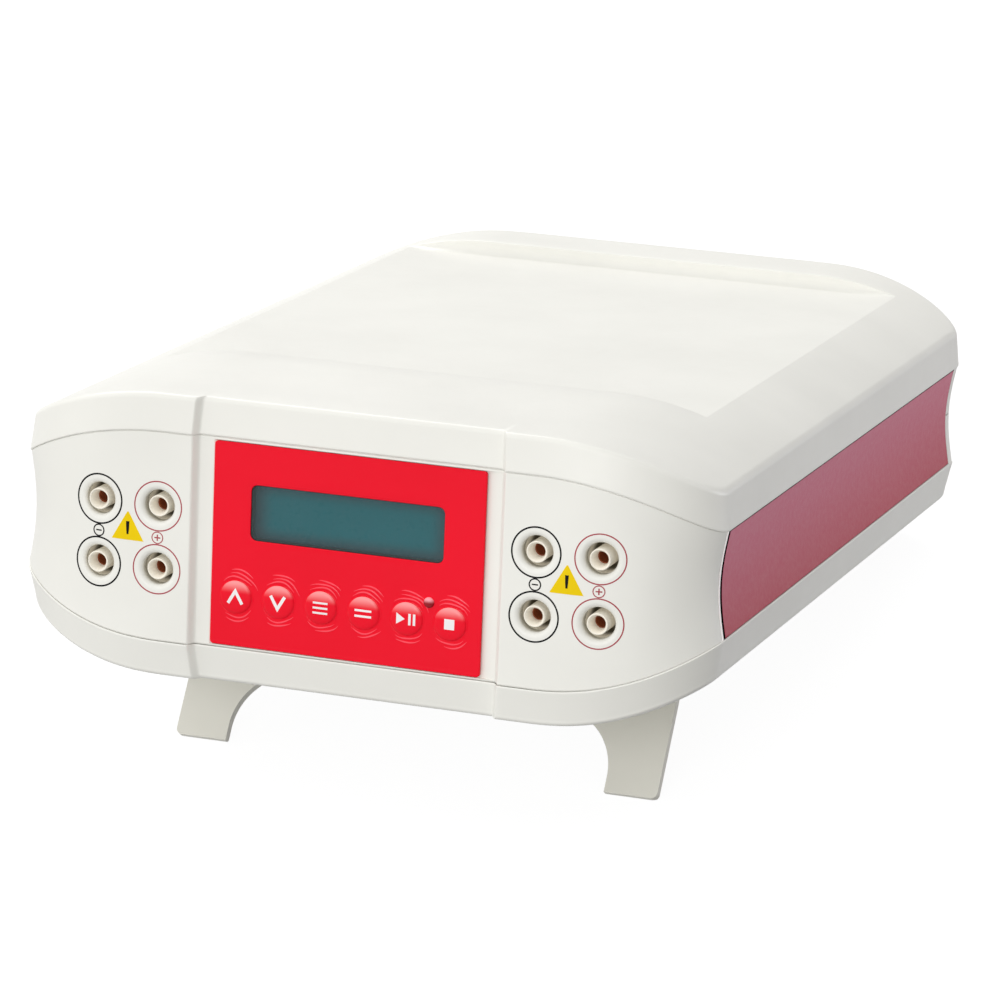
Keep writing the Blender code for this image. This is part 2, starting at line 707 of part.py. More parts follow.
def make_rear_panel():
    side_y = CASE_DEPTH - REAR_CORNER_Y - REAR_WRAP
    outer = rear_edge(PANEL_STEP)
    inner = rear_edge(PANEL_STEP + PANEL_THICKNESS)
    strip = [(outer[0][0], side_y)] + outer + [(outer[-1][0], side_y)]
    strip += [(inner[-1][0], side_y)] + inner[::-1] + [(inner[0][0], side_y)]
    panel = outline_solid("rear_panel", strip, 0.0, TOP_HEIGHT)
    combine(panel, [panel_slab("rear_slab", CASE_DEPTH / 2, CASE_DEPTH + REACH)], "INTERSECT")
    cuts = []
    for index in range(SLOT_COUNT):
        offset = (index - (SLOT_COUNT - 1) / 2) * SLOT_PITCH
        length = 2 * math.sqrt(FAN_BORE ** 2 - offset ** 2)
        cuts.append(box("slot", (SLOT_WIDTH, 2 * REACH, length - SLOT_WIDTH),
                        (FAN_X + offset, REAR_FACE, MID_HEIGHT)))
    for x, width, height in ((SWITCH_X, SWITCH_WIDTH, SWITCH_HEIGHT),
                             (INLET_X, INLET_WIDTH, INLET_HEIGHT)):
        cuts.append(box("mains_hole", (width - 2 * FLANGE_LIP + 2 * FIT, 2 * REACH,
                                       height - 2 * FLANGE_LIP + 2 * FIT), (x, REAR_FACE, MID_HEIGHT)))
    for side in (-1, 1):
        cuts.append(box("parting_groove", (2 * PARTING_GROOVE, 2 * REAR_CORNER_Y, PARTING_GROOVE),
                        (side * (CASE_WIDTH / 2 - PANEL_STEP), side_y, MID_HEIGHT)))
    combine(panel, cuts, "DIFFERENCE")
    finish(panel, off_white_plastic())


def side_profile(side):
    """(x, z) points of a side panel: a shallow waist of even thickness."""
    face = CASE_WIDTH / 2 - PANEL_STEP
    low = lower_seam(face) + FIT
    high = upper_seam(face) - FIT
    points = []
    for step in range(SIDE_STEPS + 1):
        share = step / SIDE_STEPS
        waist = SIDE_WAIST * math.sin(math.pi * share)
        points.append((side * (face - waist), low + (high - low) * share))
    return points + [(x - side * PANEL_THICKNESS, z) for x, z in reversed(points)]


def make_side_panels():
    rear = CASE_DEPTH - REAR_CORNER_Y - REAR_WRAP - FIT
    for name, side in (("left_side_panel", -1), ("right_side_panel", 1)):
        panel = outline_solid(name, side_profile(side), FRONT_CORNER_Y + FIT, rear, "Y")
        finish(panel, maroon_plastic())


# ---------------------------------------------------------------- control group

def make_overlay():
    front = MIDDLE_FACE - OVERLAY_PROUD
    back = front + OVERLAY_THICKNESS
    overlay = outline_solid("keypad_overlay", overlay_outline(0.0), front, back, "Y")
    combine(overlay, front_openings(front - REACH, back + REACH), "DIFFERENCE")
    finish(overlay, red_film())
    glass = rounded_rectangle(WINDOW_WIDTH - 2 * FIT, WINDOW_HEIGHT - 2 * FIT, WINDOW_CORNER,
                              WINDOW_CENTRE)
    window = outline_solid("lcd_window", glass, front, back, "Y")
    finish(window, clear_window())


def make_display():
    width, depth, height = MODULE_SIZE
    front = MIDDLE_BACK + FIT
    module = box("lcd_module", MODULE_SIZE, (WINDOW_CENTRE[0], front + depth / 2, WINDOW_CENTRE[1]))
    glass_front = MIDDLE_FACE - OVERLAY_PROUD + OVERLAY_THICKNESS + FIT
    glass_back = front + depth / 2
    glass = box("lcd_glass", (WINDOW_WIDTH - 2 * WINDOW_CORNER, glass_back - glass_front,
                              WINDOW_HEIGHT - 2 * GLASS_MARGIN),
                (WINDOW_CENTRE[0], (glass_front + glass_back) / 2, WINDOW_CENTRE[1]))
    combine(module, [glass], "UNION")
    finish(module, display_glass(), smooth=False)
    board = box("control_board", (OVERLAY_WIDTH - 2 * BOARD_MARGIN, BOARD_THICKNESS,
                                  OVERLAY_TOP - OVERLAY_BOTTOM - 2 * BOARD_MARGIN),
                (0.0, CONTROL_BOARD_Y + BOARD_THICKNESS / 2, (OVERLAY_BOTTOM + OVERLAY_TOP) / 2))
    finish(board, circuit_board(), smooth=False)


def make_keys():
    """Round keys: a shallow crown, a collar behind the panel and a plunger."""
    collar = KEY_RADIUS + KEY_COLLAR
    face = MIDDLE_FACE - OVERLAY_PROUD - KEY_PROUD
    collar_front = face - MIDDLE_BACK - FIT
    plunger_end = face - CONTROL_BOARD_Y + KEY_TRAVEL + FIT
    profile = [(0.0, 0.0), (KEY_RADIUS / 2, -KEY_CROWN / 4), (KEY_RADIUS * 0.85, -KEY_CROWN),
               (KEY_RADIUS, -KEY_PROUD), (KEY_RADIUS, collar_front), (collar, collar_front),
               (collar, collar_front - KEY_COLLAR), (KEY_PLUNGER, collar_front - KEY_COLLAR),
               (KEY_PLUNGER, plunger_end), (0.0, plunger_end)]
    for index, name in enumerate(KEY_NAMES):
        key = turned(name, profile, (key_place(index), face, KEY_HEIGHT), axis="Y",
                     segments=KEY_SEGMENTS)
        finish(key, red_film())


def make_status_led():
    face = MIDDLE_FACE - OVERLAY_PROUD - LED_DOME
    collar_front = face - MIDDLE_BACK - FIT
    end = face - CONTROL_BOARD_Y + FIT
    collar = LED_RADIUS + LED_COLLAR
    profile = [(0.0, 0.0), (LED_RADIUS * 0.6, -0.2 * LED_DOME),
               (LED_RADIUS, -LED_DOME), (LED_RADIUS, collar_front), (collar, collar_front),
               (collar, collar_front - LED_COLLAR), (LED_RADIUS, collar_front - LED_COLLAR),
               (LED_RADIUS, end), (0.0, end)]
    led = turned("status_led", profile, (LED_CENTRE[0], face, LED_CENTRE[1]), axis="Y", segments=16)
    finish(led, led_red())


# ---------------------------------------------------------------- output sockets

def make_sockets():
    """Each socket is a cup behind the panel with a hollow pillar round the contact."""
    pillar_front = -PANEL_STEP - PILLAR_PROUD
    funnel_end = pillar_front - FUNNEL_DEPTH
    cup_front = -SOCKET_SEAT - FIT
    cup_floor = -SOCKET_DEPTH + WALL
    contact_room = CONTACT_RADIUS + FIT
    insulator = [(SOCKET_PILLAR, pillar_front), (SOCKET_PILLAR, cup_floor),
                 (SOCKET_HOLE, cup_floor), (SOCKET_HOLE, cup_front), (SOCKET_CUP, cup_front),
                 (SOCKET_CUP, -SOCKET_DEPTH), (contact_room, -SOCKET_DEPTH),
                 (contact_room, funnel_end), (CONTACT_BORE, funnel_end),
                 (SOCKET_PILLAR - PILLAR_LIP, pillar_front)]
    contact_front = funnel_end - FIT
    contact_end = -SOCKET_DEPTH - CONTACT_REST
    tail_end = contact_end - CONTACT_TAIL
    bore_end = contact_end + CONTACT_FLOOR
    contact = [(0.0, bore_end), (CONTACT_BORE, bore_end), (CONTACT_BORE, contact_front),
               (CONTACT_RADIUS, contact_front), (CONTACT_RADIUS, contact_end),
               (CONTACT_RADIUS / 2, contact_end), (CONTACT_RADIUS / 2, tail_end), (0.0, tail_end)]
    for label, x in SOCKET_COLUMNS:
        for row, z in SOCKET_ROWS:
            socket = turned("socket_" + label + "_" + row, insulator, (x, 0.0, z), axis="Y",
                            segments=SOCKET_SEGMENTS, closed=True)
            finish(socket, off_white_plastic())
            pin = turned("contact_" + label + "_" + row, contact, (x, 0.0, z), axis="Y",
                         segments=SOCKET_SEGMENTS)
            finish(pin, brass())


# ---------------------------------------------------------------- stance

def floor_offset():
    """How far the tipped case is lifted so that the rear feet touch the floor."""
    rear_y = FOOT_PLACES[-1][1]
    dome_centre = FOOT_DOME - FOOT_HEIGHT
    return rear_y * math.sin(TILT) - dome_centre * math.cos(TILT) + FOOT_DOME


def stance_matrix():
    return Matrix.Translation((0.0, 0.0, floor_offset())) @ Matrix.Rotation(-TILT, 4, "X")


def leg_outline(side):
    """(x, z) points of a leg hanging straight down from its hinge axis."""
    points = [(LEG_OUTER, 0.0), (LEG_INNER, 0.0)]
    widest = math.acos(1 - (LEG_TIP_INNER - LEG_INNER) / LEG_FLARE_RADIUS)
    for step in range(LEG_STEPS + 1):
        angle = widest * (1 - step / LEG_STEPS)
        points.append((LEG_TIP_INNER - LEG_FLARE_RADIUS * (1 - math.cos(angle)),
                       LEG_FLARE_END + LEG_FLARE_RADIUS * math.sin(angle)))
    points.append((LEG_TIP_INNER, -LEG_LENGTH))
    for step in range(LEG_STEPS // 2 + 1):
        angle = math.radians(90) * step / (LEG_STEPS // 2)
        points.append((LEG_OUTER - LEG_TIP_RADIUS * (1 - math.sin(angle)),
                       -LEG_LENGTH + LEG_TIP_RADIUS * (1 - math.cos(angle))))
    return [(side * x, z) for x, z in points]


def make_legs():
    """Flip-out legs: a flared plate with a hinge knuckle, cut level with the floor."""
    half = LEG_THICKNESS / 2
    place = Matrix.Translation((0.0, LEG_AXIS_Y, LEG_AXIS_Z)) @ Matrix.Rotation(-LEG_LEAN, 4, "X")
    width = LEG_OUTER - LEG_INNER
    for label, side in (("left", -1), ("right", 1)):
        middle = side * (LEG_INNER + LEG_OUTER) / 2
        leg = outline_solid("tilt_leg_" + label, leg_outline(side), -half, half, "Y")
        knuckle = drum("knuckle", LEG_KNUCKLE, width, (middle, 0.0, 0.0), axis="X", segments=20)
        combine(leg, [knuckle], "UNION")
        bore = drum("bore", LEG_BORE, width + 2 * REACH, (middle, 0.0, 0.0), axis="X", segments=16)
        combine(leg, [bore], "DIFFERENCE")
        leg.matrix_world = place
        below = box("below_floor", (CASE_WIDTH, CASE_DEPTH, 4 * REACH), (0.0, 0.0, 0.0))
        below.matrix_world = stance_matrix().inverted() @ Matrix.Translation((0.0, 0.0, -2 * REACH))
        combine(leg, [below], "DIFFERENCE")
        finish(leg, leg_plastic())
        pin_length = width + 2 * WELL_CLEARANCE + WELL_WALL
        pin = drum("leg_pin_" + label, LEG_PIN, pin_length, (middle, LEG_AXIS_Y, LEG_AXIS_Z),
                   axis="X", segments=16)
        finish(pin, steel())


def make_feet():
    """Rubber feet: a domed pad under the cover and a barbed stem through its floor."""
    edge_angle = math.asin(FOOT_RADIUS / FOOT_DOME)
    centre = FOOT_DOME - FOOT_HEIGHT
    stem_top = WALL + FOOT_BARB_HEIGHT
    profile = [(0.0, stem_top), (FOOT_STEM, stem_top), (FOOT_STEM + FOOT_BARB, WALL + FIT),
               (FOOT_STEM, WALL + FIT), (FOOT_STEM, -FIT), (FOOT_RADIUS, -FIT)]
    for step in range(FOOT_RINGS + 1):
        angle = edge_angle * (1 - step / FOOT_RINGS)
        profile.append((FOOT_DOME * math.sin(angle), centre - FOOT_DOME * math.cos(angle)))
    for name, y in FOOT_PLACES:
        for label, side in (("left", -1), ("right", 1)):
            foot = turned(name + "_" + label, profile, (side * FOOT_X, y, 0.0), segments=16)
            finish(foot, black_rubber())


def make_screws():
    under_head = SCREW_SEAT - FIT
    tip = under_head + SCREW_LENGTH - SCREW_GAP
    profile = [(0.0, tip), (SCREW_RADIUS, tip), (SCREW_RADIUS, under_head), (SCREW_HEAD, under_head),
               (SCREW_HEAD, SCREW_CHAMFER), (SCREW_HEAD_FLAT, FIT), (0.0, FIT)]
    for place, y in POST_PLACES:
        for label, side in (("left", -1), ("right", 1)):
            screw = turned("case_screw_" + place + "_" + label, profile,
                           (side * POST_X, y, 0.0), segments=12)
            finish(screw, steel())


# ---------------------------------------------------------------- electronics

def make_main_board():
    board = span_box("main_board", (-BOARD_WIDTH / 2, BOARD_FRONT, BOARD_TOP - BOARD_THICKNESS),
                     (BOARD_WIDTH / 2, BOARD_REAR, BOARD_TOP))
    finish(board, circuit_board(), smooth=False)
    base = BOARD_TOP + FIT
    core = span_box("transformer", (*CORE_LOW, base), (*CORE_HIGH, base + CORE_HEIGHT))
    coil = span_box("coil", (*COIL_LOW, base + COIL_MARGIN),
                    (*COIL_HIGH, base + CORE_HEIGHT - COIL_MARGIN))
    combine(core, [coil], "UNION")
    finish(core, lamination(), smooth=False)
    make_heatsink(base)
    capacitor = drum("reservoir_capacitor", CAPACITOR_RADIUS, CAPACITOR_HEIGHT,
                     (*CAPACITOR_PLACE, base + CAPACITOR_HEIGHT / 2))
    finish(capacitor, capacitor_sleeve())


def make_heatsink(base):
    """A finned extrusion that runs front to back in the fan's air stream."""
    width = (FIN_COUNT - 1) * FIN_PITCH + FIN_THICKNESS
    points = [(HEATSINK_LEFT, base), (HEATSINK_LEFT + width, base)]
    for index in reversed(range(FIN_COUNT)):
        x = HEATSINK_LEFT + index * FIN_PITCH
        points += [(x + FIN_THICKNESS, base + HEATSINK_HEIGHT), (x, base + HEATSINK_HEIGHT)]
        if index:
            points += [(x, base + FIN_ROOT), (x - FIN_PITCH + FIN_THICKNESS, base + FIN_ROOT)]
    heatsink = outline_solid("heatsink", points, HEATSINK_FRONT, HEATSINK_REAR, "Y")
    finish(heatsink, aluminium(), smooth=False)


# ---------------------------------------------------------------- rear group

def make_fan():
    """A small axial fan behind the slots of the rear panel."""
    rear = REAR_BACK - FIT
    front = rear - FAN_DEPTH
    middle = (front + rear) / 2
    frame = box("fan_frame", (FAN_SIZE, FAN_DEPTH, FAN_SIZE), (FAN_X, middle, MID_HEIGHT))
    bore = drum("fan_bore", FAN_BORE, FAN_DEPTH + REACH, (FAN_X, middle, MID_HEIGHT), axis="Y",
                segments=32)
    combine(frame, [bore], "DIFFERENCE")
    arm_length = FAN_SIZE - FAN_ARM
    arm_y = front + FAN_SPIDER / 2
    arms = [box("arm", (arm_length, FAN_SPIDER, FAN_ARM), (FAN_X, arm_y, MID_HEIGHT)),
            box("arm", (FAN_ARM, FAN_SPIDER, arm_length), (FAN_X, arm_y, MID_HEIGHT)),
            drum("motor_base", FAN_HUB, FAN_SPIDER, (FAN_X, arm_y, MID_HEIGHT), axis="Y")]
    combine(frame, arms, "UNION")
    finish(frame, black_plastic())
    hub_front = front + FAN_SPIDER + FAN_GAP
    hub_rear = rear - FAN_GAP
    hub = Vector((FAN_X, (hub_front + hub_rear) / 2, MID_HEIGHT))
    rotor = drum("fan_rotor", FAN_HUB, hub_rear - hub_front, hub, axis="Y")
    blades = []
    tip = FAN_BORE - BLADE_GAP
    root = FAN_HUB - BLADE_ROOT
    for index in range(FAN_BLADES):
        blade = box("blade", (tip - root, BLADE_THICKNESS, BLADE_CHORD), (0.0, 0.0, 0.0))
        turn = Matrix.Rotation(2 * math.pi * index / FAN_BLADES, 4, "Y")
        reach = Matrix.Translation(((tip + root) / 2, 0.0, 0.0))
        pitch = Matrix.Rotation(BLADE_PITCH, 4, "X")
        blade.matrix_world = Matrix.Translation(hub) @ turn @ reach @ pitch
        blades.append(blade)
    combine(rotor, blades, "UNION")
    finish(rotor, black_plastic())


def make_switch():
    """Mains rocker switch: the rocker tips about X inside its frame."""
    flange_back = REAR_FACE + FIT
    flange_front = REAR_FACE + FIT + FLANGE_PROUD
    frame = span_box("mains_switch_frame",
                     (SWITCH_X - SWITCH_WIDTH / 2, flange_back, MID_HEIGHT - SWITCH_HEIGHT / 2),
                     (SWITCH_X + SWITCH_WIDTH / 2, flange_front, MID_HEIGHT + SWITCH_HEIGHT / 2))
    half_width = SWITCH_WIDTH / 2 - FLANGE_LIP
    half_height = SWITCH_HEIGHT / 2 - FLANGE_LIP
    body = span_box("switch_body",
                    (SWITCH_X - half_width, flange_front - SWITCH_DEPTH, MID_HEIGHT - half_height),
                    (SWITCH_X + half_width, flange_back + FLANGE_PROUD / 2, MID_HEIGHT + half_height))
    combine(frame, [body], "UNION")
    room_half_width = half_width - SWITCH_WALL
    room_half_height = half_height - SWITCH_WALL / 4
    room = span_box("rocker_room",
                    (SWITCH_X - room_half_width, flange_front - ROCKER_ROOM,
                     MID_HEIGHT - room_half_height),
                    (SWITCH_X + room_half_width, flange_front + REACH,
                     MID_HEIGHT + room_half_height))
    combine(frame, [room], "DIFFERENCE")
    finish(frame, black_plastic(), smooth=False)
    half_rocker = room_half_width - FIT
    lower = [(y, -z) for y, z in reversed(ROCKER_PROFILE[1:])]
    rocker = outline_solid("mains_switch_rocker", [*ROCKER_PROFILE, *lower], -half_rocker,
                           half_rocker, "X")
    rocker.location = (SWITCH_X, flange_front - ROCKER_PIVOT, MID_HEIGHT)
    rocker.rotation_euler = (ROCKER_THROW, 0.0, 0.0)
    finish(rocker, black_plastic(), smooth=False)


def inlet_cavity_outline():
    """(x, z) points of the mains inlet: a rectangle with two cut corners."""
    half_width, half_height = CAVITY_HALF
    points = [(-half_width, -half_height), (half_width, -half_height),
              (half_width, half_height - CAVITY_CUT), (half_width - CAVITY_CUT, half_height),
              (-half_width + CAVITY_CUT, half_height), (-half_width, half_height - CAVITY_CUT)]
    return [(INLET_X + x, CAVITY_CENTRE_Z + z) for x, z in points]


def make_inlet():
    """Mains inlet with three flat pins, and above it a drawer that holds the fuse."""
    flange_back = REAR_FACE + FIT
    flange_front = flange_back + FLANGE_PROUD
    inlet = span_box("power_inlet",
                     (INLET_X - INLET_WIDTH / 2, flange_back, MID_HEIGHT - INLET_HEIGHT / 2),
                     (INLET_X + INLET_WIDTH / 2, flange_front, MID_HEIGHT + INLET_HEIGHT / 2))
    half_width = INLET_WIDTH / 2 - FLANGE_LIP
    half_height = INLET_HEIGHT / 2 - FLANGE_LIP
    body = span_box("inlet_body",
                    (INLET_X - half_width, flange_front - INLET_DEPTH, MID_HEIGHT - half_height),
                    (INLET_X + half_width, flange_back + FLANGE_PROUD / 2, MID_HEIGHT + half_height))
    combine(inlet, [body], "UNION")
    cavity_floor = flange_front - CAVITY_DEPTH
    cavity = outline_solid("cavity", inlet_cavity_outline(), cavity_floor, flange_front + REACH, "Y")
    slot_floor = flange_front - DRAWER_DEPTH
    slot = span_box("drawer_slot",
                    (INLET_X - DRAWER_HALF[0] - FIT, slot_floor,
                     DRAWER_CENTRE_Z - DRAWER_HALF[1] - FIT),
                    (INLET_X + DRAWER_HALF[0] + FIT, flange_front + REACH,
                     DRAWER_CENTRE_Z + DRAWER_HALF[1] + FIT))
    combine(inlet, [cavity, slot], "DIFFERENCE")
    finish(inlet, black_plastic(), smooth=False)
    for label, x, z in INLET_PINS:
        low = (INLET_X + x - INLET_PIN_HALF[0], cavity_floor + FIT,
               CAVITY_CENTRE_Z + z - INLET_PIN_HALF[1])
        high = (INLET_X + x + INLET_PIN_HALF[0], flange_front - INLET_PIN_SUNK,
                CAVITY_CENTRE_Z + z + INLET_PIN_HALF[1])
        finish(span_box("inlet_pin_" + label, low, high), brass(), smooth=False)
    make_fuse_drawer(slot_floor + FIT, flange_front)


def make_fuse_drawer(back, front):
    """The drawer between two depths, with a finger grip and the fuse in its bed."""
    drawer = span_box("fuse_drawer",
                      (INLET_X - DRAWER_HALF[0], back, DRAWER_CENTRE_Z - DRAWER_HALF[1]),
                      (INLET_X + DRAWER_HALF[0], front, DRAWER_CENTRE_Z + DRAWER_HALF[1]))
    fuse_y = back + FUSE_PLACE
    bed = FUSE_RADIUS + FIT
    bed_length = FUSE_LENGTH + 2 * FIT
    room = span_box("fuse_room",
                    (INLET_X - bed_length / 2, fuse_y - bed, DRAWER_CENTRE_Z - bed),
                    (INLET_X + bed_length / 2, fuse_y + bed, DRAWER_CENTRE_Z + REACH))
    grip = span_box("finger_grip",
                    (INLET_X - GRIP_HALF, front - GRIP_DEPTH, DRAWER_CENTRE_Z + GRIP_LOW),
                    (INLET_X + GRIP_HALF, front + REACH, DRAWER_CENTRE_Z + GRIP_HIGH))
    combine(drawer, [room, grip], "DIFFERENCE")
    finish(drawer, black_plastic(), smooth=False)
    fuse = drum("fuse", FUSE_RADIUS, FUSE_LENGTH, (INLET_X, fuse_y, DRAWER_CENTRE_Z), axis="X",
                segments=16)
    finish(fuse, fuse_glass())


# ---------------------------------------------------------------- assembly

def stand_on_floor():
    """Tip every part with one empty, and centre the object over the origin."""
    frame = bpy.data.objects.new("case_frame", None)
    parts.objects.link(frame)
    frame.matrix_world = stance_matrix()
    for piece in finished:
        piece.parent = frame
    bpy.context.view_layer.update()
    corners = [piece.matrix_world @ vertex.co for piece in finished for vertex in piece.data.vertices]
    low_y = min(corner.y for corner in corners)
    high_y = max(corner.y for corner in corners)
    frame.location.y -= (low_y + high_y) / 2
    frame.location.z -= min(corner.z for corner in corners)


for leftover in list(bpy.data.objects):
    bpy.data.objects.remove(leftover)

parts = bpy.data.collections.new("electrophoresis_power_supply")
bpy.context.scene.collection.children.link(parts)
finished = []

make_top_cover()
make_bottom_cover()
make_front_panel()
make_rear_panel()
make_side_panels()
make_overlay()
make_display()
make_keys()
make_status_led()
make_sockets()
make_legs()
make_feet()
make_screws()
make_main_board()
make_fan()
make_switch()
make_inlet()
stand_on_floor()
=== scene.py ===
"""The looks of the benchtop power supply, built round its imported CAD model.

Lengths are millimetres in the frame of the level case: X to the right seen from the
front, Y towards the rear, Z up, with Y = 0 on the front face of the two side wings.
Every piece is a mesh in that frame, and one matrix tips it back as the case stands.
"""

import json
import math
from collections import namedtuple

import bmesh
import bpy
from mathutils import Matrix, Vector


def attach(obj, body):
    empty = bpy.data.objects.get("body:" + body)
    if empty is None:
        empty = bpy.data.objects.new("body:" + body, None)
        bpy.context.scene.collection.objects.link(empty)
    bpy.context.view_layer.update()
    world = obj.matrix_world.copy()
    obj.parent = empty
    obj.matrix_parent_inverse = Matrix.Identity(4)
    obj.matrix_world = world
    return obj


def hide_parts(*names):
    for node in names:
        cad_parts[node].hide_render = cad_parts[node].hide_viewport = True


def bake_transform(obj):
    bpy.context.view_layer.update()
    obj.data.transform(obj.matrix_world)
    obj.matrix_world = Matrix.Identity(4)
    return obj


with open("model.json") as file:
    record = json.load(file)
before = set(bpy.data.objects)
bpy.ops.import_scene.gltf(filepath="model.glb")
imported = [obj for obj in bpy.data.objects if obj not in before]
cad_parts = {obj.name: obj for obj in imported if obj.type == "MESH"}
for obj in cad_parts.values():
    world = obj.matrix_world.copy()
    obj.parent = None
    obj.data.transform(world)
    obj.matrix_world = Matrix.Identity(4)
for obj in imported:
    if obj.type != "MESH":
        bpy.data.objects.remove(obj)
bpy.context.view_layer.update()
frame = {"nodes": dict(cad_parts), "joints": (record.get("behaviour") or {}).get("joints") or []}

MM = 0.001
UP = (0.0, 0.0, 1.0)
BACK = (0.0, 1.0, 0.0)
JOINTS = {joint["name"]: joint for joint in frame["joints"]}

# Hinge axis of the legs in the case frame, which fixes where the case frame lies
LEG_AXIS = Vector((0.0, 92.0, 4.5))
LEG_LEAN = 31.4                   # degrees from upright, in the case frame


def case_matrix():
    """The case frame in metres: keys are pressed along its Y, legs hinge on LEG_AXIS."""
    along_y = Vector(JOINTS["key_up_press"]["axis"])
    along_x = Vector((1.0, 0.0, 0.0))
    turn = Matrix((along_x, along_y, along_x.cross(along_y))).transposed()
    hinge = Vector(JOINTS["tilt_leg_right_fold"]["pos_m"])
    hinge.x = 0.0
    return Matrix.Translation(hinge - turn @ LEG_AXIS * MM) @ turn.to_4x4()


CASE = case_matrix()


def case_box(node):
    """Lowest and highest corner of a CAD node in the case frame."""
    inverse = CASE.inverted()
    places = [inverse @ vertex.co / MM for vertex in frame["nodes"][node].data.vertices]
    return [Vector([pick(place[axis] for place in places) for axis in range(3)])
            for pick in (min, max)]


def case_centre(node):
    low, high = case_box(node)
    return (low + high) / 2


def centres(start, cut=0):
    """Centres of the CAD nodes whose names begin with start, by name without its cut."""
    return {name[cut:]: case_centre(name) for name in sorted(frame["nodes"])
            if name.startswith(start)}


# Sizes read from the CAD model
COVER_HIGH = case_box("top_cover")[1]
PANEL_LOW, PANEL_HIGH = case_box("front_panel")
FILM_LOW, FILM_HIGH = case_box("keypad_overlay")
WINDOW_LOW, WINDOW_HIGH = case_box("lcd_window")
WINDOW_CENTRE = (WINDOW_LOW + WINDOW_HIGH) / 2
SIDE_LOW, SIDE_HIGH = case_box("right_side_panel")
HALF_WIDTH, DEPTH, TOP_HEIGHT = COVER_HIGH
MIDDLE_Y = DEPTH / 2
MID_HEIGHT = TOP_HEIGHT / 2
FIT = 0.3                         # gap between pieces that touch
STEP = 0.02                       # keeps the faces of neighbouring pieces from lying in one
UPPER_SEAM = PANEL_HIGH.z + FIT
LOWER_SEAM = PANEL_LOW.z - FIT
KEYS = centres("key_")
KEY_MIDDLE = KEYS["key_up"].z
SOCKETS = centres("socket_", len("socket_"))
SOCKET_MIDDLE = sum(place.z for place in SOCKETS.values()) / len(SOCKETS)
SOCKET_COLUMNS = sorted({round(abs(place.x), 2) for place in SOCKETS.values()})
SOCKET_ROWS = sorted({round(place.z, 2) for place in SOCKETS.values()})

# Shape of the case: the same curves as the CAD model, drawn finer
CENTRE_HALF = 46.4
SET_BACK = 2.5
BLEND_WIDTH = 2.3
FRONT_CORNER = (42.4, 24.0)
REAR_CORNER = (62.0, 25.5)
BARREL_FLAT = 57.8
BARREL_RADIUS = 92.3
BARREL_LINES = [52.0, 55.0, BARREL_FLAT, 60.0, 63.0]     # columns where the barrel begins
TOP_DRAFT = 1.0
BOTTOM_DRAFT = 2.0
EDGE_ROUND = 1.6
SEAM_ROUND = 0.3
SEAM_SHARE = 0.03                 # share of the draft already reached beside a seam
WALL = 2.4
BOTTOM_WALL = 1.4
PANEL_STEP = 0.4
PANEL_WALL = 2.6
SIDE_WAIST = 1.9
SIDE_WALL = 3.0
SIDE_GAP = 1.6                    # extra gap at the front end of a side panel
EDGE_HIGHLIGHT_WIDTH = 1.1                   # glowing strip of painted highlight on the front panel's edge beside that gap
SHADOW_LAP = 0.35                   # how far the black strip of painted shadow under the top cover laps a side panel
REAR_WAIST = 2.0
REAR_WRAP = 3.0                   # how far the rear panel reaches along the sides
WAIST_RUN = 22.0                  # width over which a panel's waist comes in
SEAM_LINES = [-0.27, 0.0, 0.04, 0.12, 0.25]      # a lip under the seam, then the rounded end

# Tray on the top cover
TRAY_FRONT = 70.4
TRAY_REAR = 284.8
TRAY_FLOOR = 80.65
TRAY_COVE = 3.0
TRAY_RIM = 0.4
REAR_MARGIN = 2.0                 # least depth of the face behind the tray's rows

# Leg wells and screw seats in the bottom cover
WELL_X = (48.5, 79.6)
WELL_Y = (86.9, 148.0)
WELL_ROOF = 8.6
WELL_SLOPE = 0.05
SEAT_RADIUS = 3.5
SEAT_DEPTH = 1.5

# Fan slots, mains openings and grip grooves of the rear panel
GRILLE_RADIUS = 18.8
SLOT_PITCH = 4.8
SLOT_WIDTH = 2.6
MAINS_MARGIN = 1.2
GROOVE_DEPTH = 0.6
GROOVE_HALF = 0.25
CUT_REACH = 9.0

# Sockets
SOCKET_CELLS = 16
SOCKET_HALF = 9.5
SOCKET_EDGE = max(abs(place.x) for place in SOCKETS.values()) + SOCKET_HALF
DISH_RADIUS = 6.4
DISH_DEPTH = 1.5
HOLE_RADIUS = 4.75
CUP_SEAT = 4.6
CUP_FRONT = PANEL_STEP + 0.5
PILLAR_RADIUS = 3.2
PILLAR_ROUND = 0.35
GAP_FLOOR = 16.5
CUP_BACK = 18.0
BORE_DEPTH = 4.6                  # cream bore in front of the contact

# Keys, lamp, film and display
KEY_RADIUS = 4.9
KEY_ROUND = 2.2                   # width of the rounded rim of a key
KEY_RIM_DROP = 0.62
KEY_CROWN = 0.06
KEY_SHANK = 6.2                   # depth of the flange behind a key's cap
FLANGE = 1.0                      # width and thickness of that flange
PLUNGER_RADIUS = 1.5
SKIRT_WIDTH = 0.8                 # film drawn up round a key, and how far it rises
SKIRT_RISE = 0.17
KEY_CELLS = 12
FILM_WALL = 0.9
LAMP_RADIUS = 1.6
WINDOW_MARGIN = 2.5
PANE_CORNER = 2.0
PANE_CELL = 2.3                   # film redrawn round the display window
PANE_FIT = (0.994, 0.98)          # size of the clear pane as a share of its opening
GLASS_Y = 6.3
DISPLAY_MIDDLE = (4, 90, 98)
# painted shade: the display turns greyer and darker towards its edges
DISPLAY_EDGE_SHADE = (46, 56, 64)
DISPLAY_REACH = (("X", 0.12), ("Z", 0.3))   # share of each side over which the painted edge shade fades
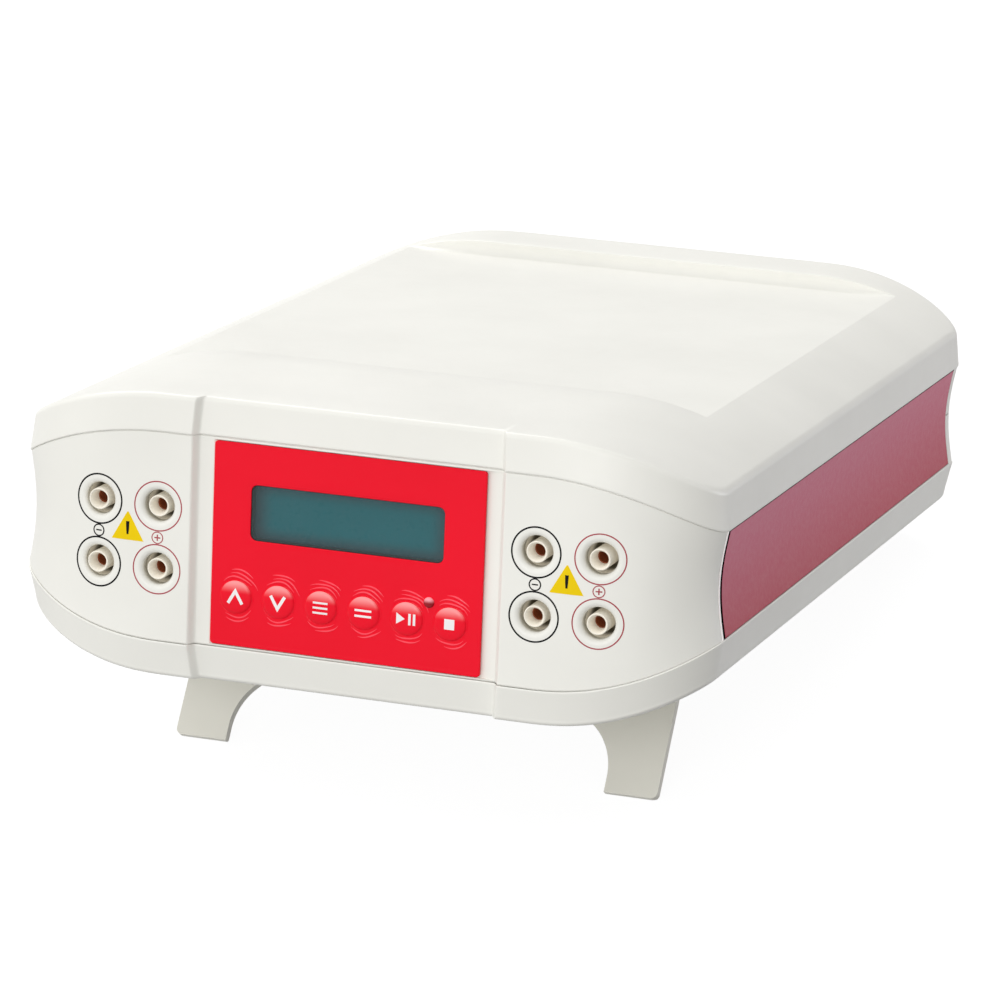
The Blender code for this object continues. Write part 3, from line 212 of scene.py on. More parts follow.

# Creases of the film round a key: radius, and the angles where they start and end
CREASES = ((6.05, 35, 128), (7.1, 28, 112), (8.2, 48, 100), (6.1, 232, 318), (7.2, 250, 312))
CREASE_WIDTH = 0.42
CREASE_RISE = 0.36
CREASE_SWING = 7                  # degrees by which a crease is turned from key to key
CREASE_WAVE = 0.16                # how far a crease wanders from its radius

# Printing
PRINT_PROUD = 0.03
PRINT_SUNK = 0.05
MARK_RADIUS = 7.4
MARK_WIDTHS = {"negative": 0.5, "positive": 0.38}
SIGN_RADIUS = 1.7
SIGN_HALF = 0.95
SIGN_WIDTH = 0.4
TRIANGLE_DROP = 1.7
TRIANGLE_HEIGHT = 8.5
TRIANGLE_WIDTH = 9.8
TRIANGLE_TIP = 0.45

# Legs and feet
LEG_OUTER, LEG_INNER, TIP_INNER = 78.1, 50.0, 61.4
LEG_LENGTH = 48.9
LEG_CORNER = 2.0
FLARE_RADIUS, FLARE_END = 19.5, -44.0
LEG_HALF = 1.5
KNUCKLE_X = 64.05
KNUCKLE_HALF = 14.05
KNUCKLE_RADIUS = 3.0
FOOT_RADIUS = 6.5
FOOT_SPHERE = 12.0

ROUND_STEPS = 72
CREASE_ANGLE = math.radians(35)
CUT_ANGLE = math.radians(30)


# ---- finishes

# Two drifting colours and roughness, then what differs from the usual finish. A fade runs
# along an axis of the case to another colour, and each one here paints light or shade; a glow
# is (colour or None for its own, strength), painted light on a part that is no lamp.
USUAL = {"grain": 4000.0, "height": 0.00001, "drift": 25.0, "metallic": 0.0, "alpha": 1.0,
         "specular": 0.5, "fade": None, "glow": None}
MOULDED = {"grain": 2600.0, "height": 0.000012}
FILM = {"grain": 900.0, "height": 0.000003, "specular": 0.16}
METAL = {"height": 0.00002, "metallic": 1.0}
LAMP_MIDDLE = case_centre("status_led").z


def ink(*colour):
    """A printed colour that drifts to nine tenths of its brightness."""
    return colour, [0.9 * channel for channel in colour], 0.4, {
        "height": 0.000005, "specular": 0.1}


FINISHES = {
    "off_white_plastic": ((238, 237, 230), (233, 232, 225), 0.42, MOULDED),
    # painted light: the maroon turns lighter and pinker towards the top of each side panel
    "maroon_plastic": ((176, 34, 54), (170, 31, 50), 0.5, {
        "grain": 5200.0, "height": 0.00003, "drift": 8.0, "specular": 0.25,
        "fade": (UP, LOWER_SEAM, UPPER_SEAM - 4.0, (216, 112, 140))}),
    "red_film": ((242, 4, 38), (236, 3, 35), 0.2, FILM),
    # painted highlight: a copy of the red film that turns pale pink towards the top of each key
    "key_film_painted_highlight": ((242, 5, 38), (236, 4, 35), 0.22, {
        **FILM, "slot": "red_film",
        "fade": (UP, KEY_MIDDLE + 0.2 * KEY_RADIUS, KEY_MIDDLE + KEY_RADIUS, (255, 158, 158))}),
    # painted highlight: the creases are coloured a paler red than the film
    "crease_painted_highlight": ((255, 74, 92), (252, 60, 80), 0.2, {"height": 0.000003, "slot": "red_film"}),
    "clear_window": ((190, 215, 215), (180, 208, 208), 0.08, {"alpha": 0.05, "specular": 0.1}),
    # painted highlight: a glowing near-white strip on the front panel's edge beside each side
    # panel
    "bright_lip": ((250, 244, 242), (248, 242, 240), 0.3, {
        "slot": "off_white_plastic", "glow": ((250, 240, 238), 0.15)}),
    # painted shade and light: the cups darken to brown deeper inside, and glow a little
    "cup_cream": ((242, 236, 222), (238, 232, 218), 0.4, {
        **MOULDED, "slot": "off_white_plastic", "fade": (BACK, 7.0, 13.0, (112, 102, 78)),
        "glow": (None, 0.08)}),
    "leg_plastic": ((232, 230, 219), (226, 224, 213), 0.5, {"height": 0.00003}),
    "black_rubber": ((36, 36, 37), (26, 26, 27), 0.8, {"height": 0.00004}),
    "black_plastic": ((32, 32, 34), (24, 24, 26), 0.45, {"height": 0.00003}),
    # painted shadow: near-black strips in the gaps beside and above the side panels
    "seal_black": ((16, 14, 14), (10, 9, 9), 0.9, {
        "height": 0.00002, "specular": 0.0, "slot": "black_plastic"}),
    # painted light: the contacts glow a dim brown
    "brass_painted_glow": ((150, 84, 50), (118, 62, 36), 0.5, {
        "drift": 400.0, "metallic": 0.3, "slot": "brass", "glow": ((120, 62, 34), 0.18)}),
    # painted highlight: the lamp turns pink towards its top
    "led_red": ((160, 14, 28), (140, 10, 22), 0.12, {
        "specular": 0.2, "fade": (UP, LAMP_MIDDLE - 0.2, LAMP_MIDDLE + 1.2, (255, 168, 176))}),
    "black_ink": ink(14, 14, 16),
    "red_ink": ink(178, 78, 86),
    "yellow_ink": ink(250, 214, 0),
    "bar_ink": ink(16, 16, 16),
    "white_ink": ink(252, 248, 248),
    "aluminium": ((205, 206, 208), (190, 191, 194), 0.4, METAL),
    "capacitor_sleeve": ((34, 42, 70), (26, 32, 56), 0.35, {"height": 0.00002}),
    "circuit_board": ((28, 96, 54), (20, 80, 44), 0.4, {"height": 0.00002}),
    "fuse_glass": ((214, 222, 220), (202, 212, 210), 0.12, {"height": 0.00002}),
    "lamination": ((96, 88, 80), (78, 70, 64), 0.55, {**METAL, "metallic": 0.6}),
    "brass": ((176, 112, 72), (150, 92, 58), 0.35, METAL),
    "steel": ((196, 196, 198), (176, 176, 180), 0.3, METAL),
}


def rgba(colour):
    """A 0-255 display colour as linear light."""
    shares = [channel / 255.0 for channel in colour]
    return [share / 12.92 if share <= 0.04045 else ((share + 0.055) / 1.055) ** 2.4
            for share in shares] + [1.0]


def feed(tree, node, feeds):
    """Set the inputs of a node, or link them to the outputs that drive them."""
    for name, value in feeds.items():
        if isinstance(value, bpy.types.NodeSocket):
            tree.links.new(value, node.inputs[name])
        else:
            node.inputs[name].default_value = value


def add_node(tree, kind, output, feeds=None, **settings):
    """Add a shader node and give back one of its outputs."""
    made = tree.nodes.new("ShaderNode" + kind)
    for setting, value in settings.items():
        setattr(made, setting, value)
    feed(tree, made, feeds or {})
    return made.outputs[output]


def noise(tree, scale):
    """A noise texture over the piece's own coordinates; scale is features per metre."""
    place = add_node(tree, "TexCoord", "Object")
    return add_node(tree, "TexNoise", "Fac", {"Vector": place, "Scale": scale, "Detail": 3.0})


def stretch(tree, source, start, end, low=0.0, high=1.0, **settings):
    """A value stretched from start..end to low..high."""
    return add_node(tree, "MapRange", "Result", {
        "Value": source, "From Min": start, "From Max": end, "To Min": low, "To Max": high},
        **settings)


def uneven(tree, scale, low, high):
    """Noise stretched from its usual middle range to low..high."""
    return stretch(tree, noise(tree, scale), 0.3, 0.7, low, high)


def mixed(tree, share, first, second):
    return add_node(tree, "Mix", 2, {6: first, 7: second, "Factor": share}, data_type="RGBA")


def bumped(tree, scale, height):
    """A normal from noise; height is in metres."""
    return add_node(tree, "Bump", "Normal", {
        "Height": noise(tree, scale), "Strength": 1.0, "Distance": height})


def towards(tree, kind, direction):
    """How far a texture coordinate lies along a direction."""
    place = add_node(tree, "TexCoord", kind)
    return add_node(tree, "VectorMath", "Value", {0: place, 1: direction},
                    operation="DOT_PRODUCT")


def faded(tree, plain, axis, low, high, colour):
    """A colour that fades to another between two places along an axis of the case."""
    along = CASE.to_3x3() @ Vector(axis)
    ends = [place * MM + CASE.translation.dot(along) for place in (low, high)]
    share = stretch(tree, towards(tree, "Object", along), *ends,
                    interpolation_type="SMOOTHSTEP")
    return mixed(tree, share, plain, rgba(colour))


def new_finish(name):
    made = bpy.data.materials.new(name + "_finish")
    made.use_nodes = True
    return made, made.node_tree, made.node_tree.nodes["Principled BSDF"]


def finish(name):
    """The named finish: drifting colour, uneven roughness and a fine grain."""
    known = bpy.data.materials.get(name + "_finish")
    if known:
        return known
    first, second, roughness, own = FINISHES[name]
    look = {**USUAL, **own}
    made, tree, shader = new_finish(name)
    made["slot"] = look.get("slot", name)
    colour = mixed(tree, uneven(tree, look["drift"], 0.0, 1.0), rgba(first), rgba(second))
    if look["fade"]:
        colour = faded(tree, colour, *look["fade"])
    feed(tree, shader, {
        "Base Color": colour,
        "Roughness": uneven(tree, look["grain"] / 8, roughness * 0.9, roughness * 1.1),
        "Normal": bumped(tree, look["grain"], look["height"]),
        "Metallic": look["metallic"],
        "Alpha": look["alpha"],
        "Specular IOR Level": look["specular"]})
    if look["glow"]:
        glow, strength = look["glow"]
        feed(tree, shader, {"Emission Color": rgba(glow) if glow else colour,
                            "Emission Strength": strength})
    return made


def make_display_glass():
    """The blank display: teal in the middle, with painted shade making it greyer and darker
    towards its edges.
    """
    made, tree, shader = new_finish("display_glass")
    made["slot"] = "display_glass"
    edges = []
    for axis, reach in DISPLAY_REACH:
        place = add_node(tree, "TexCoord", "Generated")
        part = add_node(tree, "SeparateXYZ", axis, {"Vector": place})
        away = add_node(tree, "Math", "Value", {0: part, 1: 0.5}, operation="PINGPONG")
        edges.append(stretch(tree, away, 0.0, reach, interpolation_type="SMOOTHSTEP"))
    middle = add_node(tree, "Math", "Value", {0: edges[0], 1: edges[1]}, operation="MULTIPLY")
    feed(tree, shader, {
        "Base Color": mixed(tree, middle, rgba(DISPLAY_EDGE_SHADE), rgba(DISPLAY_MIDDLE)),
        "Specular IOR Level": 0.1,
        "Roughness": uneven(tree, 600.0, 0.25, 0.35),
        "Normal": bumped(tree, 3000.0, 0.000003)})


# ---- mesh tools

def clamp(value):
    return min(1.0, max(0.0, value))


def smooth_share(value, low, high):
    share = clamp((value - low) / (high - low))
    return share * share * (3 - 2 * share)


def arc(share):
    """Height of a unit quarter circle at a share of its radius."""
    return math.sqrt(max(0.0, 1 - share ** 2))


def round_point(x, z, radius, angle):
    """A point on a circle round (x, z)."""
    return x + radius * math.cos(angle), z + radius * math.sin(angle)


def turns(start=0, end=90, step=10):
    """Angles in radians, from limits in degrees."""
    return [math.radians(angle) for angle in range(start, end + 1, step)]


def spaced(start, end, count):
    """count + 1 evenly spaced values from start to end."""
    return [start + (end - start) * step / count for step in range(count + 1)]


def merged(values, least=0.05):
    """Sorted values without near repeats."""
    kept = []
    for value in sorted(values):
        if not kept or value - kept[-1] > least:
            kept.append(value)
    return kept


def mirrored(half):
    return merged([-x for x in half] + list(half))


def at(x, y, z):
    return Matrix.Translation(Vector((x, y, z)) * MM)


def rotation(degrees, axis):
    return Matrix.Rotation(math.radians(degrees), 4, axis)


def facing_front(place, y=0.0):
    """Stand a turned shape at a place so that its top looks to the front."""
    return at(place.x, y, place.z) @ rotation(90, "X")


def grid_faces(rows, columns, first=0, wrap_rows=False, wrap_columns=False):
    """Quads over rows x columns of points that are numbered row by row."""
    faces = []
    for row in range(rows if wrap_rows else rows - 1):
        for column in range(columns if wrap_columns else columns - 1):
            below = first + row * columns
            above = first + (row + 1) % rows * columns
            right = (column + 1) % columns
            faces.append((below + column, below + right, above + right, above + column))
    return faces


def make_mesh(points, faces, facing=None):
    """A welded mesh of points in mm; facing turns an open sheet to look that way."""
    mesh = bpy.data.meshes.new("piece")
    mesh.from_pydata([Vector(point) * MM for point in points], [], faces)
    work = bmesh.new()
    work.from_mesh(mesh)
    bmesh.ops.remove_doubles(work, verts=work.verts, dist=0.002 * MM)
    bmesh.ops.dissolve_degenerate(work, edges=work.edges, dist=0.001 * MM)
    bmesh.ops.recalc_face_normals(work, faces=work.faces)
    if facing is not None:
        outward = sum((face.normal * face.calc_area() for face in work.faces), Vector())
        if outward.dot(Vector(facing)) < 0:
            bmesh.ops.reverse_faces(work, faces=work.faces)
    work.to_mesh(mesh)
    work.free()
    mesh.shade_smooth()
    mesh.set_sharp_from_angle(angle=CREASE_ANGLE)
    return mesh


def turned_mesh(profile, closed=False, steps=ROUND_STEPS):
    """A turned shape: (radius, height) points; the ends of an open profile lie on the axis."""
    points = []
    for radius, height in profile:
        points += [(*round_point(0.0, 0.0, radius, 2 * math.pi * step / steps), height)
                   for step in range(steps)]
    faces = grid_faces(len(profile), steps, wrap_rows=closed, wrap_columns=True)
    return make_mesh(points, faces)


def slab_mesh(outline, start, end):
    """A flat (x, z) outline given thickness along Y."""
    count = len(outline)
    points = [(x, y, z) for y in (start, end) for x, z in outline]
    faces = [tuple(range(count)), tuple(range(count, 2 * count))]
    faces += [(i, (i + 1) % count, count + (i + 1) % count, count + i) for i in range(count)]
    return make_mesh(points, faces)


def rectangle(low_x, low_z, high_x, high_z):
    return [(low_x, low_z), (high_x, low_z), (high_x, high_z), (low_x, high_z)]


def add_object(name, data):
    made = bpy.data.objects.new(name, data)
    bpy.context.scene.collection.objects.link(made)
    return made


def add_piece(name, mesh, look, body="case", stands_for=None, place=None):
    """Put a mesh in the scene, riding on a body, with its finish and its CAD node."""
    mesh.name = name
    mesh.transform(CASE if place is None else CASE @ place)
    made = add_object(name, mesh)
    material = finish(look)
    mesh.materials.append(material)
    if body:
        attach(made, body)
    if stands_for:
        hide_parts(stands_for)
    return made


def add_turned(name, profile, look, place, closed=False, steps=ROUND_STEPS, **riding):
    mesh = turned_mesh(profile, closed, steps)
    return add_piece(name, mesh, look, place=place, **riding)


def add_slab(name, outline, start, end, look, **riding):
    return add_piece(name, slab_mesh(outline, start, end), look, **riding)


def add_shell(name, mesh, wall, node, look="off_white_plastic"):
    """An open sheet that stands for a CAD node, with its wall inwards from the visible side."""
    piece = add_piece(name, mesh, look, stands_for=node)
    solidify = piece.modifiers.new("wall", "SOLIDIFY")
    solidify.thickness = wall * MM
    solidify.offset = -1.0
    return piece


def round_edges(piece, width, segments=3):
    bevel = piece.modifiers.new("round", "BEVEL")
    bevel.width = width * MM
    bevel.segments = segments
    bevel.limit_method = "ANGLE"
    bevel.angle_limit = CREASE_ANGLE
    bevel.harden_normals = True


def add_cutter(mesh, place=None):
    return add_piece("cutter", mesh, "black_plastic", body=None, place=place)


def cut(piece, cutters):
    """Cut a piece with others, apply it, and remove the cutters."""
    bpy.context.view_layer.update()
    for cutter in cutters:
        step = piece.modifiers.new("cut", "BOOLEAN")
        step.operation = "DIFFERENCE"
        step.solver = "EXACT"
        step.object = cutter
    graph = bpy.context.evaluated_depsgraph_get()
    mesh = bpy.data.meshes.new_from_object(piece.evaluated_get(graph))
    mesh.shade_smooth()
    mesh.set_sharp_from_angle(angle=CUT_ANGLE)
    piece.modifiers.clear()
    piece.data = mesh
    for cutter in cutters:
        bpy.data.objects.remove(cutter)


# ---- curves of the case

def barrel_drop(x):
    over = max(0.0, abs(x) - BARREL_FLAT)
    return BARREL_RADIUS - math.sqrt(BARREL_RADIUS ** 2 - over ** 2)


def front_curve(x, inset=0.0):
    """Y of the front outline at x, moved in by inset."""
    across = abs(x)
    if across <= CENTRE_HALF + BLEND_WIDTH:
        share = clamp((across - CENTRE_HALF) / BLEND_WIDTH)
        return SET_BACK * (1 + math.cos(math.pi * share)) / 2 + inset
    width, depth = FRONT_CORNER
    over = max(0.0, across - (HALF_WIDTH - width)) / (width - inset)
    return depth - (depth - inset) * arc(over)


def rear_curve(x, inset=0.0):
    width, depth = REAR_CORNER
    over = max(0.0, abs(x) - (HALF_WIDTH - width)) / (width - inset)
    return DEPTH - depth + (depth - inset) * arc(over)


def corner_lines(inset, corner, step=3):
    """X of points spaced evenly in angle round a plan corner."""
    centre = HALF_WIDTH - corner[0]
    return [centre + (corner[0] - inset) * math.sin(turn) for turn in turns(step=step)]


def top_edge(x):
    return TOP_HEIGHT - barrel_drop(x)


def upper_seam(x):
    return UPPER_SEAM - barrel_drop(x)


def lower_seam(x):
    return LOWER_SEAM + barrel_drop(x)


# ---- covers

def scaled_plan(x, y, inset):
    """A plan point moved in towards the middle of the case."""
    return (x * (1 - inset / HALF_WIDTH), MIDDLE_Y + (y - MIDDLE_Y) * (1 - inset / MIDDLE_Y))


def cover_lines(face_lines, full):
    """X of a cover's columns: the step, the corners and the lines its face needs."""
    extra = [line / (1 - full / HALF_WIDTH) for line in face_lines]
    half = spaced(0, CENTRE_HALF, 8) + spaced(CENTRE_HALF, CENTRE_HALF + BLEND_WIDTH, 10)
    half += BARREL_LINES + [x for x in corner_lines(0.0, FRONT_CORNER)
                            if all(abs(x - line) > 0.5 for line in extra)]
    return mirrored(half + extra)


def cover_rings(draft, up):
    """(inset, share of the seam's height, lift) of the rings from the seam to the face."""
    rings = []
    for turn in turns(step=30):
        rings.append((SEAM_ROUND * (1 - math.sin(turn)) + SEAM_SHARE * draft, 1.0,
                      up * SEAM_ROUND * (1 - math.cos(turn))))
    for share in (0.05, 0.3, 0.7, 0.95):
        rings.append((draft * (SEAM_SHARE + (1 - SEAM_SHARE) * share), 1 - share,
                      up * (SEAM_ROUND * (1 - share) - EDGE_ROUND * share)))
    for turn in turns():
        rings.append((draft + EDGE_ROUND * (1 - math.cos(turn)), 0.0,
                      -up * EDGE_ROUND * (1 - math.sin(turn))))
    return rings


def cover_mesh(seam, edge, draft, up, face_lines, rows_at, height_at):
    """A cover: rounded seam edge, drafted wall, rounded edge and a face over the plan.

    seam and edge are heights over x, rows_at gives the y of a column's points between
    the outlines, and height_at the height of the face.
    """
    full = draft + EDGE_ROUND
    columns = cover_lines(face_lines, full)
    points = []
    for x in columns:
        face_x, front = scaled_plan(x, front_curve(x), full)
        rows = rows_at(front, scaled_plan(x, rear_curve(x), full)[1])
        points += [(face_x, y, height_at(face_x, y)) for y in rows]
    faces = grid_faces(len(columns), len(rows))
    side_rows = [MIDDLE_Y + (y - MIDDLE_Y) / (1 - full / MIDDLE_Y) for y in rows[1:-1]]
    loop = [(x, front_curve(x)) for x in columns]
    loop += [(HALF_WIDTH, y) for y in side_rows]
    loop += [(x, rear_curve(x)) for x in reversed(columns)]
    loop += [(-HALF_WIDTH, y) for y in reversed(side_rows)]
    rings = cover_rings(draft, up)
    first = len(points)
    for inset, seam_share, lift in rings:
        for x, y in loop:
            ring_x, ring_y = scaled_plan(x, y, inset)
            height = seam_share * seam(x) + (1 - seam_share) * edge(ring_x)
            points.append((ring_x, ring_y, height + lift))
    faces += grid_faces(len(rings), len(loop), first, wrap_columns=True)
    return make_mesh(points, faces, facing=(0, 0, up))


def tray_height(x, y):
    """Height of the top face: the barrel, with the tray's rims, walls and rear cove."""
    top = top_edge(x)
    depth = max(0.0, top - TRAY_FLOOR)
    if y < TRAY_FRONT - TRAY_RIM or y > TRAY_REAR + TRAY_RIM:
        return top
    outside = max(TRAY_FRONT - y, y - TRAY_REAR)
    if outside >= 0:
        return top - min(TRAY_RIM, depth) * (1 - arc(1 - outside / TRAY_RIM))
    cove = min(TRAY_COVE, 0.8 * depth)
    into = max(0.0, (y - (TRAY_REAR - TRAY_COVE)) / TRAY_COVE)
    return top - depth + cove * (1 - arc(into))


def top_rows(front, rear):
    rim = [TRAY_RIM * share for share in (0.0, 0.1, 0.3, 0.6, 1.0)]
    cove_start = TRAY_REAR - TRAY_COVE
    rows = spaced(front, TRAY_FRONT - TRAY_RIM, 6)[:-1]
    rows += [TRAY_FRONT - width for width in reversed(rim)] + [TRAY_FRONT + 0.01]
    rows += spaced(TRAY_FRONT + 1.0, cove_start - 1.0, 12)
    last = rows[-1]
    ends = [cove_start + TRAY_COVE * math.sin(turn) for turn in turns(end=80)]
    ends += [TRAY_REAR - 0.01] + [TRAY_REAR + width for width in rim]
    squeeze = min(1.0, (rear - REAR_MARGIN - last) / (ends[-1] - last))
    rows += [last + (y - last) * squeeze for y in ends]
    return rows + spaced(rows[-1], rear, 4)[1:]


def make_top_cover():
    depth = TOP_HEIGHT - TRAY_FLOOR
    crease = BARREL_FLAT + math.sqrt(BARREL_RADIUS ** 2 - (BARREL_RADIUS - depth) ** 2)
    mesh = cover_mesh(upper_seam, top_edge, TOP_DRAFT, 1,
                      [crease + shift for shift in (-0.25, 0.0, 0.25)], top_rows, tray_height)
    add_shell("top_cover_shell", mesh, WALL, "top_cover")


def bottom_height(x, y):
    inside = WELL_X[0] <= abs(x) <= WELL_X[1] and WELL_Y[0] <= y <= WELL_Y[1]
    return WELL_ROOF if inside else barrel_drop(x)


def bottom_rows(front, rear):
    rows = spaced(front, WELL_Y[0] - WELL_SLOPE, 5) + spaced(*WELL_Y, 5)
    return rows + spaced(WELL_Y[1] + WELL_SLOPE, rear, 8)


def make_bottom_cover():
    lines = [WELL_X[0] - 0.06, WELL_X[0] + 0.001, WELL_X[1] - 0.001, WELL_X[1] + 0.06]
    mesh = cover_mesh(lower_seam, barrel_drop, BOTTOM_DRAFT, -1, lines, bottom_rows,
                      bottom_height)
    cover = add_shell("bottom_cover_shell", mesh, BOTTOM_WALL, "bottom_cover")
    seat = [(0, SEAT_DEPTH), (SEAT_RADIUS, SEAT_DEPTH), (SEAT_RADIUS, -5), (0, -5)]
    cut(cover, [add_cutter(turned_mesh(seat, steps=36), at(place.x, place.y, 0))
                for place in centres("case_screw").values()])


# ---- panels

# A hole in a panel sheet: its grid rectangle, the core of its outline (a point for a round
# hole), (radius, depth) rings from the rectangle in, and the y where its tube ends
Hole = namedtuple("Hole", "low high core rings tube_end", defaults=(None,))


def round_hole(place, half, rings, tube_end=None):
    x, z = place.x, place.z
    return Hole((x - half, z - half), (x + half, z + half), ((x, z), (x, z)), rings, tube_end)


def hole_patch(opening, xs, zs, surface, points, faces):
    """Fill the rectangle round a hole with rings that turn into its outline."""
    across, up = [
        [line for line in lines if opening.low[axis] - 0.01 <= line <= opening.high[axis] + 0.01]
        for axis, lines in enumerate((xs, zs))]
    border = [(x, up[0]) for x in across[:-1]] + [(across[-1], z) for z in up[:-1]]
    border += [(x, up[-1]) for x in across[:0:-1]] + [(across[0], z) for z in up[:0:-1]]
    core_low, core_high = opening.core
    first = len(points)
    points += [(x, surface(x, z), z) for x, z in border]
    outline = border
    for radius, depth in opening.rings:
        outline = []
        for x, z in border:
            near = Vector([min(max(value, low), high) for value, low, high
                           in zip((x, z), core_low, core_high)])
            outline.append(near + (Vector((x, z)) - near).normalized() * radius)
        points += [(x, surface(x, z) + depth, z) for x, z in outline]
    if opening.tube_end is not None:
        points += [(x, opening.tube_end, z) for x, z in outline]
    rows = (len(points) - first) // len(border)
    faces += grid_faces(rows, len(border), first, wrap_columns=True)


def panel_mesh(xs, row_zs, surface, openings, facing, place_at):
    """A sheet over (x, z): row_zs gives a column's heights, surface its y."""
    points = [(x, surface(x, z), z) for x in xs for z in row_zs(x)]
    faces = []
    for face in grid_faces(len(xs), len(row_zs(xs[0]))):
        x = sum(points[index][0] for index in face) / 4
        z = sum(points[index][2] for index in face) / 4
        if not any(opening.low[0] < x < opening.high[0]
                   and opening.low[1] < z < opening.high[1] for opening in openings):
            faces.append(face)
    for opening in openings:
        hole_patch(opening, xs, row_zs(opening.core[0][0]), surface, points, faces)
    return make_mesh([place_at(*point) for point in points], faces, facing=facing)


def panel_ends(x):
    """Lowest and highest z of a panel at x."""
    return lower_seam(x) + FIT, upper_seam(x) - FIT


def panel_rows(x, fixed, low_lines=(), high_lines=()):
    """Heights of a panel column: rounded ends, and fixed lines that shrink with the barrel."""
    low, high = panel_ends(x)
    lines = fixed
    if abs(x) > SOCKET_EDGE:
        full_low, full_high = panel_ends(SOCKET_EDGE)
        lines = [low + (high - low) * (z - full_low) / (full_high - full_low) for z in fixed]
    low_ends = [low + line for line in SEAM_LINES + list(low_lines)]
    high_ends = [high - line for line in reversed(SEAM_LINES + list(high_lines))]
    below = spaced(low_ends[-1], lines[0], 4)[1:-1]
    above = spaced(lines[-1], high_ends[0], 4)[1:-1]
    return low_ends + below + lines + above + high_ends


def end_round(x, z):
    """How far the sheet turns in beside the seams."""
    edge = SEAM_ROUND - 0.05
    low, high = panel_ends(x)
    away = min(z - low, high - z)
    return 0.0 if away >= edge else edge * (1 - arc(1 - max(0.0, away) / edge))


def waist_share(x, z, depth):
    """A depth that swells from the seams to the middle of the panel's height."""
    low, high = panel_ends(x)
    return depth * math.sin(math.pi * clamp((z - low) / (high - low)))


def waist_depth(x, depth):
    return depth * smooth_share(abs(x), HALF_WIDTH - WAIST_RUN, HALF_WIDTH - PANEL_STEP)


def front_surface(x, z):
    """The front panel: middle, step and wings, with the bed of the keypad film."""
    if abs(x) < FILM_HIGH.x + FIT - 0.01 and FILM_LOW.z - FIT < z < FILM_HIGH.z + FIT:
        return FILM_HIGH.y + FIT
    return front_curve(x, PANEL_STEP) + end_round(x, z)


def front_place(x, y, z):
    """The ends of the front panel follow the waist of the side panels."""
    inward = waist_share(x, z, waist_depth(x, SIDE_WAIST))
    return (x - math.copysign(inward, x), y, z)


def front_lines():
    inner, outer = SOCKET_COLUMNS[0] - SOCKET_HALF, SOCKET_COLUMNS[-1] + SOCKET_HALF
    bed = FILM_HIGH.x + FIT
    half = spaced(0, FILM_HIGH.x - 1.0, 12) + [bed - 0.02, bed, CENTRE_HALF]
    half += spaced(CENTRE_HALF, CENTRE_HALF + BLEND_WIDTH, 10)
    half += spaced(inner, outer, 2 * SOCKET_CELLS)
    half += [x for x in corner_lines(PANEL_STEP, FRONT_CORNER, 2) if x > outer + 0.5]
    half += [WINDOW_HIGH.x + WINDOW_MARGIN]
    return mirrored(half)


def dish_rings():
    """The soft mouth of a socket, from its grid square in to the hole."""
    width = DISH_RADIUS - HOLE_RADIUS
    return [(8.4, 0.0), (7.4, 0.0), (DISH_RADIUS + 0.2, 0.0)] + [
        (DISH_RADIUS - width * math.sin(turn), DISH_DEPTH * (1 - math.cos(turn)))
        for turn in turns()]


def make_front_panel():
    fixed = spaced(SOCKET_ROWS[0] - SOCKET_HALF, SOCKET_ROWS[-1] + SOCKET_HALF,
                   2 * SOCKET_CELLS)
    low, high = panel_ends(0.0)
    bed_low = FILM_LOW.z - FIT - low
    bed_high = high - (FILM_HIGH.z + FIT)
    openings = [round_hole(place, SOCKET_HALF, dish_rings(), CUP_SEAT)
                for place in SOCKETS.values()]
    window_x = WINDOW_HIGH.x + WINDOW_MARGIN
    window_low = max(line for line in fixed if line < WINDOW_LOW.z - 0.3)
    window_high = min(line for line in fixed if line > WINDOW_HIGH.z + 0.3)
    openings.append(Hole((-window_x, window_low), (window_x, window_high),
                         ((0.0, window_low), (0.0, window_low)), [], FILM_HIGH.y + 1.5))
    mesh = panel_mesh(front_lines(),
                      lambda x: panel_rows(x, fixed, (bed_low - 0.01, bed_low + 0.01),
                                           (bed_high - 0.01, bed_high + 0.01)),
                      front_surface, openings, (0, -1, 0), front_place)
    add_shell("front_panel_shell", mesh, PANEL_WALL, "front_panel")


def on_face(x):
    """X no further out than the side faces of the panels."""
    return math.copysign(min(abs(x), HALF_WIDTH - PANEL_STEP), x)


def rear_surface(x, z):
    return rear_curve(on_face(x), PANEL_STEP) - end_round(on_face(x), z)


def rear_place(x, y, z):
    """The waist of the rear panel; columns past its corners run forward along the sides."""
    face = on_face(x)
    forward = abs(x) - abs(face)
    inward = waist_depth(face, REAR_WAIST) + (end_round(face, z) if forward > 0 else 0.0)
    return (face - math.copysign(waist_share(face, z, inward), face), y - forward, z)


def slot_outline(x, z, width, height):
    """(x, z) outline of an upright slot with round ends."""
    radius = width / 2
    straight = height / 2 - radius
    return [round_point(x, z + end * straight, radius, turn)
            for end, start in ((1, 0), (-1, 180))
            for turn in spaced(math.radians(start), math.radians(start + 180), 8)]


def rear_openings():
    """Outlines of the fan slots and of the openings for the mains inlet and switch."""
    fan = case_centre("fan_frame")
    outlines = []
    for index in range(-3, 4):
        offset = SLOT_PITCH * index
        length = 2 * math.sqrt(GRILLE_RADIUS ** 2 - offset ** 2)
        outlines.append(slot_outline(fan.x + offset, fan.z, SLOT_WIDTH, length))
    for node in ("mains_switch_frame", "power_inlet"):
        low, high = case_box(node)
        outlines.append(rectangle(low.x + MAINS_MARGIN, low.z + MAINS_MARGIN,
                                  high.x - MAINS_MARGIN, high.z - MAINS_MARGIN))
    return outlines


